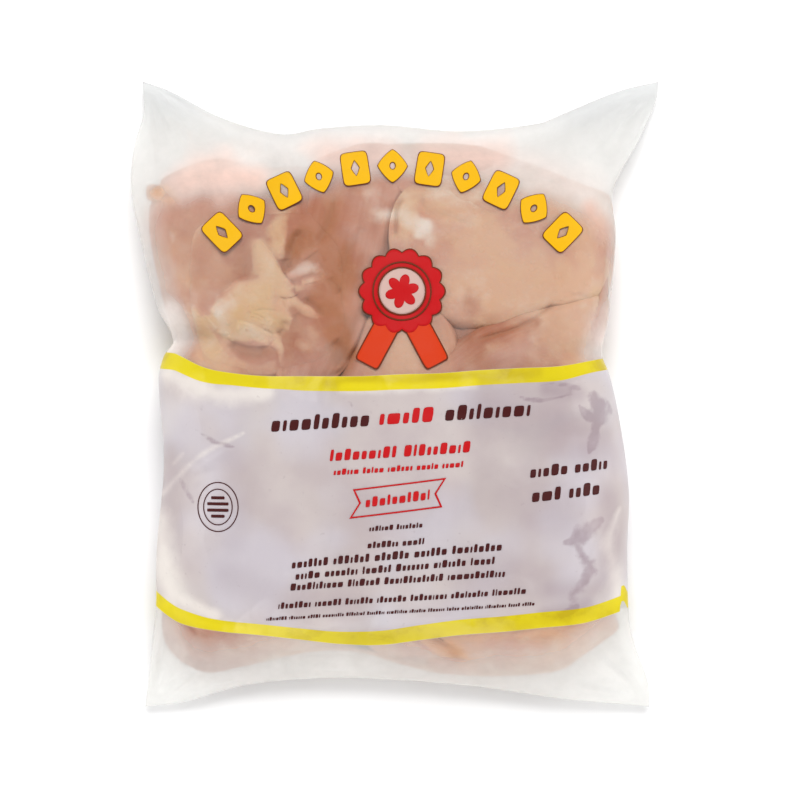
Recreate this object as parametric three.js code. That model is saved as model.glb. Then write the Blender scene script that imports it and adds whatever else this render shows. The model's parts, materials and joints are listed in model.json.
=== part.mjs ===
// A sealed film bag of raw chicken leg quarters, lying on its back.
//
// The bag is a tube of thin film, welded shut along its top and its bottom edge. The meat fills the
// middle, so the sides are round, the welded ends taper to a line, and the four corners stay flat as
// ears. The film lies close over the leg quarters, so they show as domes with creases between them.
//
// Millimetres. X runs across the bag, Y from its bottom weld to its top weld, and Z is up.
// The origin is the centre of the bag's footprint, on the surface that it lies on.

import * as THREE from "three";

// Driving dimensions

const EAR_THICKNESS = 1.2; // the two films of a corner, thicker than real so that the ear is a solid
const COLUMNS = 46; // faces across the bag
const ROWS = 50; // faces along the bag

const HALF_DEPTH = 43; // half the thickness of the filled middle
const CENTRE_HEIGHT = 39; // mid-plane of the filled middle above the table
const SIDE_HEIGHT = 35; // widest line of the round sides
const WELD_HEIGHT = 17; // welded edges, at mid-width
const TIP_HEIGHT = 7; // tips of the ears

const SIDE_ROUNDNESS = { power: 3.5, bend: 0.48 }; // the section across, round at the sides
const END_TAPER = { power: 4, bend: 0.78 }; // the section along, pinched at the welds
const EAR_CUT = { from: 0.26, to: 0.76 }; // where the filling stops short of a corner
const UNDERSIDE_FULLNESS = 1.18; // the weight presses the underside flat against the table
const TABLE_EASE = 5; // how gently the underside leaves the table

const DOME_HEIGHT = 17; // from the bottom of a crease to the top of a leg quarter
const DOME_MERGE = 4; // higher gives sharper creases
const DOME_LEVEL = 0.86; // dome value that lies on the plain pillow

const EAR_FOLDS = { height: 2.2, count: 11, reach: 70 }; // folds that fan out from each tip
const WAIST_DEPTH = 7; // the dents at the two ends of the printed band's top edge
const WAIST_REACH = 42;
const WAIST_WIDTH = 9;

// The outline, as landmarks of its four edges

const LEFT_EDGE = [
  // [y, x]
  [-183.5, -147.5],
  [-160, -144],
  [-125, -140],
  [-90, -139],
  [-40, -134.5],
  [8, -137.5],
  [22, -134.5],
  [31, -129],
  [50, -138],
  [85, -147],
  [118, -154],
  [145, -153],
  [163, -148],
  [183.5, -149],
];

const RIGHT_EDGE = [
  // [y, x]
  [-183.5, 148.5],
  [-168, 147],
  [-145, 138.5],
  [-130, 135.5],
  [-90, 134],
  [-55, 134.5],
  [-12, 128.5],
  [12, 123],
  [23, 119],
  [45, 123],
  [92, 127.5],
  [118, 126],
  [150, 142.5],
  [172, 152],
  [183.5, 154],
];

const TOP_EDGE = [
  // [x, y]
  [-149, 183.5],
  [-134, 178],
  [-102, 161.5],
  [-67, 151.8],
  [-45, 155],
  [-9, 157],
  [37, 153.5],
  [83, 158.2],
  [97, 163.8],
  [130, 177.5],
  [154, 183.5],
];

const BOTTOM_EDGE = [
  // [x, y]
  [-147.5, -183.5],
  [-125, -180.5],
  [-90, -170.5],
  [-44, -166],
  [0, -167],
  [48, -171],
  [95, -178],
  [148.5, -183.5],
];

// The leg quarters that the film shows: centre, half-sizes, turn in degrees and share of DOME_HEIGHT

const UPPER_QUARTERS = [
  { x: -108, y: 78, long: 66, short: 41, turn: 96, lift: 0.96 },
  { x: -34, y: 86, long: 64, short: 36, turn: 72, lift: 0.93 },
  { x: 66, y: 90, long: 74, short: 50, turn: -2, lift: 1.05 },
  { x: 86, y: 8, long: 56, short: 33, turn: 20, lift: 1 },
  { x: -88, y: -8, long: 58, short: 36, turn: -10, lift: 1 },
  { x: -2, y: -24, long: 60, short: 38, turn: 78, lift: 1.08 },
  { x: 92, y: -78, long: 54, short: 38, turn: -64, lift: 1.02 },
  { x: -92, y: -88, long: 56, short: 40, turn: 60, lift: 1 },
  { x: -84, y: -136, long: 58, short: 26, turn: 8, lift: 0.86 },
  { x: 42, y: -136, long: 74, short: 28, turn: -6, lift: 0.9 },
];

const UNDER_QUARTERS = [
  { x: -84, y: 96, long: 66, short: 44, turn: 34, lift: 1 },
  { x: 30, y: 100, long: 66, short: 42, turn: -18, lift: 1 },
  { x: 96, y: 40, long: 60, short: 38, turn: 74, lift: 1 },
  { x: -86, y: 4, long: 60, short: 42, turn: -38, lift: 1 },
  { x: 12, y: 6, long: 62, short: 44, turn: 62, lift: 1 },
  { x: 88, y: -70, long: 64, short: 42, turn: -52, lift: 1 },
  { x: -78, y: -96, long: 66, short: 42, turn: 20, lift: 1 },
  { x: 22, y: -116, long: 64, short: 40, turn: 6, lift: 1 },
];

// Dents where the film is drawn in, at the ends of the printed band's top edge

const WAISTS = [
  { side: -1, y: 31 },
  { side: 1, y: 23 },
];

// Small tools

const clamp = (value, low, high) => Math.min(Math.max(value, low), high);

function smoothStep(low, high, value) {
  const share = clamp((value - low) / (high - low), 0, 1);
  return share * share * (3 - 2 * share);
}

const hump = (distance, width) => Math.exp(-((distance / width) ** 2));

const mix = (a, b, share) => a + (b - a) * share;

// A cubic through landmarks [at, value], with the slope at each taken from its two neighbours.
function throughLandmarks(landmarks, at) {
  const last = landmarks.length - 1;
  let i = 0;
  while (i < last - 1 && at > landmarks[i + 1][0]) i++;
  const slope = (k) => {
    const before = landmarks[Math.max(k - 1, 0)];
    const after = landmarks[Math.min(k + 1, last)];
    return (after[1] - before[1]) / (after[0] - before[0]);
  };
  const [x0, y0] = landmarks[i];
  const [x1, y1] = landmarks[i + 1];
  const span = x1 - x0;
  const f = clamp((at - x0) / span, 0, 1);
  const rise = f * f * (3 - 2 * f);
  const leave = f * (1 - f) * (1 - f) * span * slope(i);
  const arrive = f * f * (1 - f) * span * slope(i + 1);
  return mix(y0, y1, rise) + leave - arrive;
}

// Four edges as functions of a share from 0 to 1, and the patch stretched between them

function edge(landmarks, share, alongY) {
  const at = mix(landmarks[0][0], landmarks[landmarks.length - 1][0], share);
  const value = throughLandmarks(landmarks, at);
  return alongY ? [value, at] : [at, value];
}

function outlinePoint(u, v) {
  const left = edge(LEFT_EDGE, v, true);
  const right = edge(RIGHT_EDGE, v, true);
  const bottom = edge(BOTTOM_EDGE, u, false);
  const top = edge(TOP_EDGE, u, false);
  return [0, 1].map((axis) => {
    const across = mix(left[axis], right[axis], u);
    const along = mix(bottom[axis], top[axis], v);
    const low = mix(edge(LEFT_EDGE, 0, true)[axis], edge(RIGHT_EDGE, 0, true)[axis], u);
    const high = mix(edge(LEFT_EDGE, 1, true)[axis], edge(RIGHT_EDGE, 1, true)[axis], u);
    return across + along - mix(low, high, v);
  });
}

// How full the bag is at (s, t), each from -1 to 1: 1 in the middle, 0 at the outline and in the ears.
function fullness(s, t) {
  const a = Math.abs(s);
  const b = Math.abs(t);
  const across = (1 - a ** SIDE_ROUNDNESS.power) ** SIDE_ROUNDNESS.bend;
  const along = (1 - b ** END_TAPER.power) ** END_TAPER.bend;
  const corner = (a * b) ** 2;
  return across * along * (1 - smoothStep(EAR_CUT.from, EAR_CUT.to, corner));
}

// Height of the sheet midway between the two films: high in the middle, low at the welds and the tips.
function midHeight(s, t) {
  const end = Math.abs(t) ** 2.4;
  const side = mix(SIDE_HEIGHT, TIP_HEIGHT, end);
  const middle = mix(CENTRE_HEIGHT, WELD_HEIGHT, end);
  return mix(middle, side, s * s);
}

// Overlapping domes, one over each leg quarter, joined by a soft maximum: about 1 on a dome.
function domes(quarters, x, y) {
  let sum = 0;
  for (const q of quarters) {
    const turn = THREE.MathUtils.degToRad(q.turn);
    const dx = x - q.x;
    const dy = y - q.y;
    const along = (dx * Math.cos(turn) + dy * Math.sin(turn)) / q.long;
    const across = (dy * Math.cos(turn) - dx * Math.sin(turn)) / q.short;
    const dome = q.lift * Math.exp(-0.5 * (along ** 2 + across ** 2) ** 1.5);
    sum += dome ** DOME_MERGE;
  }
  return sum ** (1 / DOME_MERGE);
}

// Folds that fan out from the nearest tip and die away towards the filling.
function earFolds(x, y, s, t) {
  const tip = outlinePoint(s < 0 ? 0 : 1, t < 0 ? 0 : 1);
  const dx = (tip[0] - x) * Math.sign(s || 1);
  const dy = (tip[1] - y) * Math.sign(t || 1);
  const angle = Math.atan2(dy, dx);
  const away = Math.hypot(dx, dy);
  const fade = smoothStep(6, 36, away) * hump(away, EAR_FOLDS.reach);
  return EAR_FOLDS.height * Math.sin(EAR_FOLDS.count * angle + 2 * s) * fade;
}

// How far the film is drawn in beside a waist.
function waistDent(x, y, s) {
  let dent = 0;
  for (const waist of WAISTS) {
    const edgeX = throughLandmarks(waist.side < 0 ? LEFT_EDGE : RIGHT_EDGE, waist.y);
    const inward = (edgeX - x) * waist.side;
    dent += WAIST_DEPTH * hump(y - waist.y, WAIST_WIDTH) * hump(inward, WAIST_REACH);
  }
  return dent * (1 - s ** 8);
}

// The larger of a height and the table, with a soft bend between them.
function aboveTable(height) {
  if (height <= -TABLE_EASE) return 0;
  if (height >= TABLE_EASE) return height;
  return (height + TABLE_EASE) ** 2 / (4 * TABLE_EASE);
}

// A point of the bag's skin: (s, t) runs over the sheet, and face is 1 above and -1 below.
function skinPoint(s, t, face) {
  const [x, y] = outlinePoint((s + 1) / 2, (t + 1) / 2);
  const full = fullness(s, t);
  const loose = 1 - smoothStep(0, 0.5, full);
  const sheet = midHeight(s, t) + earFolds(x, y, s, t) * loose;
  const grip = smoothStep(0.02, 0.55, full);
  if (face > 0) {
    const dome = DOME_HEIGHT * (domes(UPPER_QUARTERS, x, y) - DOME_LEVEL) * grip;
    const lift = HALF_DEPTH * full + dome - waistDent(x, y, s) * grip;
    const least = aboveTable(sheet - EAR_THICKNESS / 2) + EAR_THICKNESS;
    return [x, y, Math.max(sheet + Math.max(lift, 0) + EAR_THICKNESS / 2, least)];
  }
  const dome = DOME_HEIGHT * (domes(UNDER_QUARTERS, x, y) - DOME_LEVEL) * grip;
  const drop = HALF_DEPTH * UNDERSIDE_FULLNESS * full + dome - waistDent(x, y, s) * grip;
  return [x, y, aboveTable(sheet - Math.max(drop, 0) - EAR_THICKNESS / 2)];
}

// Even steps drawn closer together towards the edges, where the skin turns over.
const crowdToEdges = (step) => mix(step, Math.sin((step * Math.PI) / 2), 0.75);

// The skin as a fine box whose upper and lower faces become the two films and whose thin walls are the welds.
function bagGeometry() {
  const geometry = new THREE.BoxGeometry(2, 2, 2, COLUMNS, ROWS, 1);
  const position = geometry.getAttribute("position");
  for (let i = 0; i < position.count; i++) {
    const s = crowdToEdges(position.getX(i));
    const t = crowdToEdges(position.getY(i));
    position.setXYZ(i, ...skinPoint(s, t, Math.sign(position.getZ(i))));
  }
  geometry.computeBoundingBox();
  const centre = geometry.boundingBox.getCenter(new THREE.Vector3());
  geometry.translate(-centre.x, -centre.y, -geometry.boundingBox.min.z);
  geometry.deleteAttribute("uv");
  geometry.computeVertexNormals();
  return geometry;
}

const film = new THREE.MeshStandardMaterial({
  color: "#dcbfb2",
  roughness: 0.35,
  metalness: 0,
});

const bag = new THREE.Mesh(bagGeometry(), film);
bag.name = "sealed_bag";

const model = new THREE.Group();
model.add(bag);

export default model;
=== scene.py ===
"""Dresses a sealed film bag of raw chicken leg quarters that lies on its back.

The packed body gives the bag's size and place. The milky film, the leg quarters that press against it,
their loose skin and the printing are made here, as surfaces worked out with numpy. Sizes are in
millimetres until a mesh is made, and Blender's units are metres.
"""

import functools
import json

import bmesh
import bpy
import numpy as np
from bpy.props import FloatProperty, FloatVectorProperty, PointerProperty
from bpy.types import Operator, Panel, PropertyGroup
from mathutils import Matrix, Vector

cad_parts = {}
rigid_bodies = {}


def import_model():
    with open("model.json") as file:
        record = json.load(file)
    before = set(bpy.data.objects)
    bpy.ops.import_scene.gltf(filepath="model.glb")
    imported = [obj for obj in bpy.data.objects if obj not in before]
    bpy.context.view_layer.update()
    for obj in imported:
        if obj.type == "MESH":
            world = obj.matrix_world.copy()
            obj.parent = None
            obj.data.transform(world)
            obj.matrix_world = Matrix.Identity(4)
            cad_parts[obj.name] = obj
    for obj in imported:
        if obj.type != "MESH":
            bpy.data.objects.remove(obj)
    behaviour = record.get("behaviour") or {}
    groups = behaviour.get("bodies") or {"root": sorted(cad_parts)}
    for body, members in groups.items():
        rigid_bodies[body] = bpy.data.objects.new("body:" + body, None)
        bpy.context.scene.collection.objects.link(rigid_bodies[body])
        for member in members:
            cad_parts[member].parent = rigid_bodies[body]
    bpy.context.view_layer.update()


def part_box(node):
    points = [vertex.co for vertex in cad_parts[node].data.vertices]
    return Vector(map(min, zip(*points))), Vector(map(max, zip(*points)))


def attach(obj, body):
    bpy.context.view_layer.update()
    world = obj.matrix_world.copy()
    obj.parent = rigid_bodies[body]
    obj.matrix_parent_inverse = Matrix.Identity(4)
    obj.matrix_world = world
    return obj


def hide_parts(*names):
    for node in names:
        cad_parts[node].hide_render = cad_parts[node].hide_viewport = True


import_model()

bl_info = {
    "name": "Bag of chicken leg quarters",
    "version": (1, 0, 0),
    "blender": (4, 5, 0),
    "location": "View3D > Sidebar > Bag",
    "description": "Builds a sealed film bag of raw chicken leg quarters around its packed body",
    "category": "Add Mesh",
}

MM = 0.001
BODY = "root"
NODE = "sealed_bag"

# The bag's form, the same values as the packed body has

CAD_COLUMNS = 46
CAD_ROWS = 50
CROWDING = 0.75  # how much closer together rows and columns are near the outline
EAR_THICKNESS = 1.2
HALF_DEPTH = 43
CENTRE_HEIGHT = 39
SIDE_HEIGHT = 35
WELD_HEIGHT = 17
TIP_HEIGHT = 7
SIDE_POWER = 3.5
SIDE_BEND = 0.48
END_POWER = 4
END_BEND = 0.78
EAR_CUT_FROM = 0.26
EAR_CUT_TO = 0.76
UNDERSIDE_FULLNESS = 1.18
TABLE_EASE = 5
MID_POWER = 2.4  # how the mid height falls towards the ends
DOME_HEIGHT = 17
DOME_MERGE = 4
DOME_LEVEL = 0.86
FOLD_HEIGHT = 2.2
FOLD_COUNT = 11
FOLD_REACH = 70
FOLD_START = (6, 36)  # distances from an ear tip between which the folds rise
LOOSE_BELOW = 0.5  # fullness under which the film is loose
GRIP = (0.02, 0.55)  # fullness between which the leg quarters show
WAIST_DEPTH = 7
WAIST_REACH = 42
WAIST_WIDTH = 9
WAISTS = [(-1, 31), (1, 23)]  # side, y

LEFT_EDGE = [  # y, x
    (-183.5, -147.5), (-160, -144), (-125, -140), (-90, -139), (-40, -134.5), (8, -137.5), (22, -134.5),
    (31, -129), (50, -138), (85, -147), (118, -154), (145, -153), (163, -148), (183.5, -149),
]
RIGHT_EDGE = [  # y, x
    (-183.5, 148.5), (-168, 147), (-145, 138.5), (-130, 135.5), (-90, 134), (-55, 134.5), (-12, 128.5),
    (12, 123), (23, 119), (45, 123), (92, 127.5), (118, 126), (150, 142.5), (172, 152), (183.5, 154),
]
TOP_EDGE = [  # x, y
    (-149, 183.5), (-134, 178), (-102, 161.5), (-67, 151.8), (-45, 155), (-9, 157), (37, 153.5),
    (83, 158.2), (97, 163.8), (130, 177.5), (154, 183.5),
]
BOTTOM_EDGE = [  # x, y
    (-147.5, -183.5), (-125, -180.5), (-90, -170.5), (-44, -166), (0, -167), (48, -171), (95, -178),
    (148.5, -183.5),
]
UPPER_QUARTERS = [  # x, y, half length, half width, turn, lift
    (-108, 78, 66, 41, 96, 0.96), (-34, 86, 64, 36, 72, 0.93), (66, 90, 74, 50, -2, 1.05),
    (86, 8, 56, 33, 20, 1), (-88, -8, 58, 36, -10, 1), (-2, -24, 60, 38, 78, 1.08),
    (92, -78, 54, 38, -64, 1.02), (-92, -88, 56, 40, 60, 1), (-84, -136, 58, 26, 8, 0.86),
    (42, -136, 74, 28, -6, 0.9),
]
UNDER_QUARTERS = [
    (-84, 96, 66, 44, 34, 1), (30, 100, 66, 42, -18, 1), (96, 40, 60, 38, 74, 1), (-86, 4, 60, 42, -38, 1),
    (12, 6, 62, 44, 62, 1), (88, -70, 64, 42, -52, 1), (-78, -96, 66, 42, 20, 1), (22, -116, 64, 40, 6, 1),
]

# Film: finer creases than the packed body has

FILM_COLUMNS = 206
FILM_ROWS = 238
EAR_GAP = 0.5  # between the two films of an ear
FINE_FOLD_HEIGHT = 0.35
FINE_FOLD_COUNT = 27
FINE_FOLD_START = (8, 30)
FINE_FOLD_REACH = 85
GATHER_HEIGHT = 0.45  # small pleats along the two welds
GATHER_PITCH = 13
GATHER_REACH = 20
CRUMPLE_HEIGHT = 0.7
CRUMPLE_BEND = 34  # cell of the noise that bends the facets' own cells
CRUMPLE_WIDE = 23
CRUMPLE_FINE = 9.5
RIM_EASE = 0.03  # share of the sheet over which the film's creases die away at its rim
CLEAR_GAP = 0.3  # least distance of the two films
PLACE_STEPS = 2001  # for finding a sheet place's row and column
CREASES = [  # path, height and width of single sharp creases
    ([(-84, -26), (-108, -40), (-133, -56)], 1.3, 2),
    ([(-112, -44), (-124, -42), (-134, -48)], 0.8, 1.5),
    ([(-131, 10), (-116, 0), (-92, -13)], 1.3, 3.2),
    ([(-127, -50), (-122, -74), (-124, -100)], 1.3, 2.4),
    ([(-137, -94), (-126, -106), (-112, -124)], 1.5, 2.8),
    ([(-117, 2), (-111, -18), (-113, -42)], 0.7, 2.6),
    ([(-112, -74), (-106, -94), (-98, -112)], 0.6, 2.2),
    ([(-64, 4), (-54, -4), (-40, -6)], 0.6, 1.8),
    ([(-28, 3), (-34, -8), (-30, -14)], 0.5, 1.6),
    ([(132, -60), (117, -80), (109, -99)], 1.5, 2.4),
    ([(130, -92), (118, -106), (112, -122)], 1, 2),
    ([(118, 8), (119, -10), (116, -34)], 0.8, 2),
    ([(52, 7), (80, 5), (112, 11)], 0.7, 1.6),
    ([(44, -2), (66, 1), (92, -4)], 0.6, 1.5),
    ([(-146, 174), (-141, 150), (-140, 122)], 1.1, 2.6),
    ([(-140, 168), (-124, 156), (-106, 142)], 1, 3.2),
    ([(148, 178), (132, 158), (118, 140)], 1.1, 3.2),
    ([(151, 172), (140, 150), (128, 130)], 0.9, 2.6),
    ([(-139, 120), (-136, 92), (-128, 62)], 0.8, 2.4),
    ([(123, 116), (126, 90), (122, 60)], 0.7, 2.2),
    ([(-142, -174), (-126, -164), (-110, -153)], 1, 2.8),
    ([(143, -176), (132, -162), (118, -148)], 1, 2.8),
]
WELD_INSET = 5  # from the film's end to the middle of the weld
WELD_WIDTH = 1.3
WELD_RELIEF = 0.15
STEEP_MARGIN = 0.008  # how much further out the film's height is read for each millimetre of clearance
ROOM_LIMIT = 0.995  # share of the sheet that has room in it
TIP_FROM = (8, 45)  # distances past the meat between which the upper film is painted greyer, as shade
TIP_PLAIN = 0.25  # the share of that painted shade away from the weld
TIP_WIDTH = 18

# Where the meat ends inside the film

MEAT_TOP = [  # x, y
    (-160, 118), (-148, 124), (-125, 131), (-102, 137), (-79, 132), (-56, 134), (-32, 142), (-18, 146),
    (14, 147), (46, 146), (62, 140), (84, 132), (107, 122), (125, 117), (140, 112),
]
MEAT_BOTTOM = [  # x, y
    (-150, -135), (-137, -147), (-114, -163), (-90, -159), (-67, -153), (-44, -149), (-21, -150),
    (2, -157), (26, -163), (72, -165), (95, -162), (107, -154), (118, -146), (135, -134),
]
MEAT_LEFT = [  # y, x
    (-190, -130), (-150, -136), (-120, -136.5), (-60, -133), (0, -134), (22, -131), (31, -126.5),
    (45, -132), (60, -137), (90, -144), (115, -149), (140, -149), (190, -142),
]
MEAT_RIGHT = [  # y, x
    (-190, 128), (-150, 135), (-120, 132), (-60, 132), (0, 124.5), (22, 118), (45, 122), (90, 126.5),
    (118, 125), (150, 130), (190, 134),
]
MEAT_EASE = 7  # how gently the leg quarters bend over towards those ends

# Band: its two edges on the film, as x, y

BAND_TOP = [
    (-150, 25.5), (-128, 23.5), (-123, 21.5), (-111, 15.8), (-100, 12.9), (-77, 10.2), (-54, 10), (-20, 10),
    (2, 11), (25, 11.7), (47, 13.4), (70, 14.6), (93, 15.8), (116, 19.9), (135, 23),
]
BAND_BOTTOM = [
    (-150, -113.5), (-136.5, -125.5), (-124.5, -132.5), (-101, -136.3), (-78, -138.5), (-55, -141.3),
    (-32, -144.3), (-9, -144.6), (14, -141.2), (37, -138), (60, -136.2), (83, -134), (106, -132.2),
    (118, -129.6), (140, -122.8),
]
NO_PATCH = -4.0
WET_PATCHES = [  # path, half widths and strength of the places where the band lies wet on the meat
    ([(81, 4.6), (92, 5.6), (104, 3.6)], [0.8, 2.2, 2], 0.7),
    ([(65, 0.6), (76, -3.4), (90, -2.6), (99, 0.6)], [1.6, 2.2, 1.4, 1.6], 0.7),
    ([(112.7, -1.8), (117.8, -10.3), (114.4, -17.7), (113.2, -26.1), (110, -33)], [4, 7, 4, 5, 1.6], 1),
    ([(104, -7), (110, -13), (118, -16)], [1, 4, 3.4], 0.8),
    ([(117, -72), (109.8, -77), (102, -82.5), (95.5, -84.5)], [2.6, 5.6, 5.2, 1.6], 1),
    ([(100, -84), (106, -92), (111, -98), (107, -107), (100, -115)], [5, 6.5, 6.5, 6, 6], 0.62),
    ([(84, -126), (92, -128), (104, -122)], [3, 4.5, 3], 0.6),
    ([(-126, -46), (-121, -54), (-116, -62)], [3, 5.5, 2.5], 0.4),
    ([(-114, -20), (-104, -27), (-92, -30)], [2.5, 3.5, 2], 0.35),
    ([(-30, -2), (-24, -8), (-26, -15)], [1.4, 2.4, 1.2], 0.4),
]
PALE_PATCHES = [  # path, half widths and strength of the places where the band stands off the meat
    ([(-130, 12), (-118, 6), (-98, 0), (-72, 1)], [7, 9, 8, 5], 1),
    ([(-136, -72), (-134, -96), (-128, -120)], [8, 9, 9], 1),
    ([(-124, -118), (-104, -127)], [6, 5], 1),
    ([(128, -66), (122, -84), (125, -102), (128, -118)], [2, 6, 7, 9], 0.75),
    ([(-30, 4), (10, 4), (44, 6)], [4, 4, 4], 1),
    ([(-132, -122), (-112, -131), (-80, -137)], [7, 6, 4], 1),
    ([(-135, -58), (-122, -44), (-108, -33), (-86, -22)], [3.5, 4.2, 3.4, 2], 0.45),
    ([(-128, -40), (-122, -34)], [4, 4], 0.3),
]
FOLD_X = 129.8  # right of this line the film is folded behind, so its lower stripe sits higher
FOLD_RISE = 5.6
FOLD_EASE = (1.5, 5)  # from where to where right of that line it eases back
TOP_STRIPE = [  # x, width of the upper stripe
    (-150, 10), (-122, 9.6), (-104, 8), (-92, 7), (-68, 7.2), (-50, 8.3), (90, 8.4), (112, 7), (150, 7),
]
BOTTOM_STRIPE = [  # x, width of the lower stripe
    (-150, 9.6), (-122, 8.8), (-104, 7), (-50, 7.1), (-12, 8.8), (10, 9.2), (150, 9.4),
]
BAND_SHADES = [  # path, half widths and how much darker, or lighter below 0, the band is there
    ([(52, -8), (84, -14), (108, -30)], [26, 34, 22], 0.42),
    ([(60, -60), (92, -66)], [26, 30], 0.32),
    ([(40, -100), (78, -104)], [22, 24], 0.22),
    ([(-134, -20), (-128, -8)], [12, 12], -0.3),
    ([(-134, -98), (-126, -114)], [13, 13], -0.4),
    ([(-96, -30), (-84, -56), (-92, -84)], [12, 14, 12], 0.14),
    # painted shade: the upper stripe's middle, where the light falls brightest
    ([(-40, 6), (0, 7), (40, 9), (80, 12)], [5, 6, 6, 5], 0.55),
    ([(86, -127), (108, -123)], [9, 9], 0.5),
    ([(-30, -60), (10, -70)], [26, 30], 0.12),
    ([(-96, -104), (-60, -118), (-20, -118)], [16, 18, 16], 0.2),
    ([(-24, -140), (10, -137), (50, -132)], [8, 8, 8], 0.3),
    ([(-131, -34), (-131, -58), (-128, -82)], [14, 14, 14], 0.22),
    ([(122, -60), (124, -84), (121, -108)], [13, 13, 12], 0.32),
    ([(86, 3), (104, 0)], [8, 8], 0.35),
    ([(88, -112), (110, -112)], [11, 11], 0.25),
]

# Places where the clear film covers more, or less below 0

FILM_VEILS = [  # path, half widths, how much more it covers and how much of that is peach, painted as the glow of light through the flesh
    ([(-120, 122.2), (-109.8, 125), (-96.8, 125), (-82.6, 123.3)], [15, 20, 19, 14], 0.6, 0.95),
    ([(-130.7, 101.2), (-115.4, 104), (-93.9, 109.7)], [16, 19, 15], 0.1, 0.9),
    ([(-85.4, 134.6), (-70.1, 133.5), (-56.6, 134.6)], [16, 17, 16], 0.42, 0.15),
    ([(-102.4, 138), (-82.6, 139.1)], [12] * 2, 0.25, 0.2),
    ([(-40.1, 139.1), (-26, 136.9), (-6.2, 138)], [17, 18, 17], 0.45, 0.8),
    ([(19.3, 138), (36.3, 136.3), (58.9, 136.3)], [16, 17, 16], 0.5, 0.9),
    ([(73, 131.2), (90, 124.4), (107, 115.4)], [17, 18, 15], 0.38, 0.35),
    ([(111, 106.9), (116.6, 95.5)], [10, 9], 0.25, 1),
    ([(118.9, 46.3), (116.6, 33.3)], [9, 11], 0.35, 0.5),
    ([(117.8, 29.3), (111, 23.7)], [11, 10], 0.45, 0.15),
    ([(-129, 46.3), (-126.7, 36.1), (-127.3, 27.6)], [11, 14, 13], 0.62, 0.25),
    ([(-30, 31.6), (-27.1, 23.7)], [9, 9], -0.1, 0),
    ([(-62.8, 89.9), (-48.6, 97.2), (-34.5, 102.9)], [14, 15, 12], -0.1, 0),
    ([(-38.5, 82.5), (-32.8, 64.4), (-37.3, 48.6)], [14, 18, 16], -0.1, 0),
    ([(46.4, 31.6), (61.7, 33.9)], [12] * 2, -0.1, 0),
]

# Leg quarters, from the back to the hock

UPPER_LEGS = [  # path, half widths, how hard the film presses, how bare and how fat
    ([(-104, 128), (-106, 92), (-107, 56), (-104, 20), (-98, -14)], [40, 43, 37, 28, 16], 5.5, 0.6, 0),
    ([(-20, 140), (-28, 108), (-36, 72), (-44, 36), (-54, 0)], [34, 35, 33, 28, 16], 4.5, 0.85, 0),
    ([(13, 104), (42, 88), (84, 90), (128, 92)], [32, 57, 47, 36], 10, 0, 0.2),
    ([(14, -8), (52, 6), (92, 20), (132, 34)], [18, 29, 34, 30], 7.5, 0.45, 0.15),
    ([(6, 40), (0, -4), (-6, -50), (-18, -94)], [33, 39, 34, 18], 5.5, 0.5, 0.05),
    ([(112, -30), (98, -70), (70, -108), (30, -128)], [32, 42, 36, 19], 6, 0.2, 0.1),
    ([(-110, -34), (-98, -74), (-72, -106), (-34, -122)], [32, 42, 36, 19], 6, 0.45, 0.05),
    ([(44, -26), (50, -62), (34, -98), (4, -124)], [24, 30, 28, 16], 4.5, 0.2, 0.1),
    ([(-54, -18), (-58, -52), (-40, -86), (-12, -112)], [24, 30, 28, 16], 4.5, 0.5, 0.05),
    ([(-140, -134), (-112, -146), (-74, -150), (-34, -144)], [20, 26, 24, 15], 6, 0.5, 0),
    ([(120, -136), (84, -144), (40, -146), (-6, -142)], [22, 27, 25, 16], 6.5, 0, 0.25),
    ([(-68, 132), (-66, 108), (-66, 84), (-62, 64)], [20, 24, 22, 14], 3.5, 0.8, 0),
    ([(-4, 134), (28, 128), (64, 120), (104, 108)], [22, 26, 26, 18], 4, 0.35, 0.05),
    ([(-122, 44), (-118, 16), (-112, -20)], [20, 24, 20], 5, 0.5, 0),
]
UNDER_LEGS = [
    ([(-118, 122), (-88, 100), (-50, 74), (-18, 56)], [32, 44, 36, 20], 6, 0.3, 0.1),
    ([(-20, 122), (24, 104), (70, 92), (112, 100)], [30, 44, 40, 26], 7, 0.1, 0.2),
    ([(102, 76), (98, 40), (92, 2), (84, -32)], [32, 40, 32, 19], 5, 0.5, 0.1),
    ([(-112, 36), (-84, 4), (-50, -22), (-20, -46)], [32, 42, 34, 20], 6, 0.25, 0.1),
    ([(4, 54), (14, 8), (22, -34), (34, -68)], [34, 44, 34, 20], 7, 0.1, 0.25),
    ([(112, -34), (90, -70), (62, -104), (30, -132)], [30, 43, 36, 21], 5, 0.45, 0.1),
    ([(-122, -56), (-88, -90), (-48, -106), (-10, -96)], [28, 44, 34, 19], 6, 0.2, 0.2),
    ([(-118, -136), (-64, -140), (-4, -142), (52, -144), (104, -138)], [24, 30, 30, 30, 24], 5, 0.3, 0.15),
]
UV_SCALE = (2.0, 0.25)  # of the pieces mapped by their plan, across and along the fibres
LEG_ROWS = 140
LEG_AROUND = 176
DEPTH_SHARE = 0.66  # a leg quarter's half height as a share of its half width
BACK_REACH = 0.45  # how far its ends reach past its path, as shares of the half widths there
HOCK_REACH = 0.7
SECTION_POWER = 0.8
SWELLS = [(3, 30), (1.2, 12)]  # height and cell of the noise that swells it
SWELL_WIDTH = 14  # half width under which it swells no more
SNUG_REACH = 9  # how far it is pressed in before it follows the film closely
SNUG_SHARE = 0.8
SOFT_TOUCH = 0.25
GIRTH = 30  # millimetres that its girth counts for in the fibres
FIBRE_CELL = 3.6
# cap, in millimetres, of the depth under the film that counts towards the painted shade of recesses
DEEPEST_PAINTED_SHADE = 14
FILM_CLEARANCE = 0.5
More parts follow.
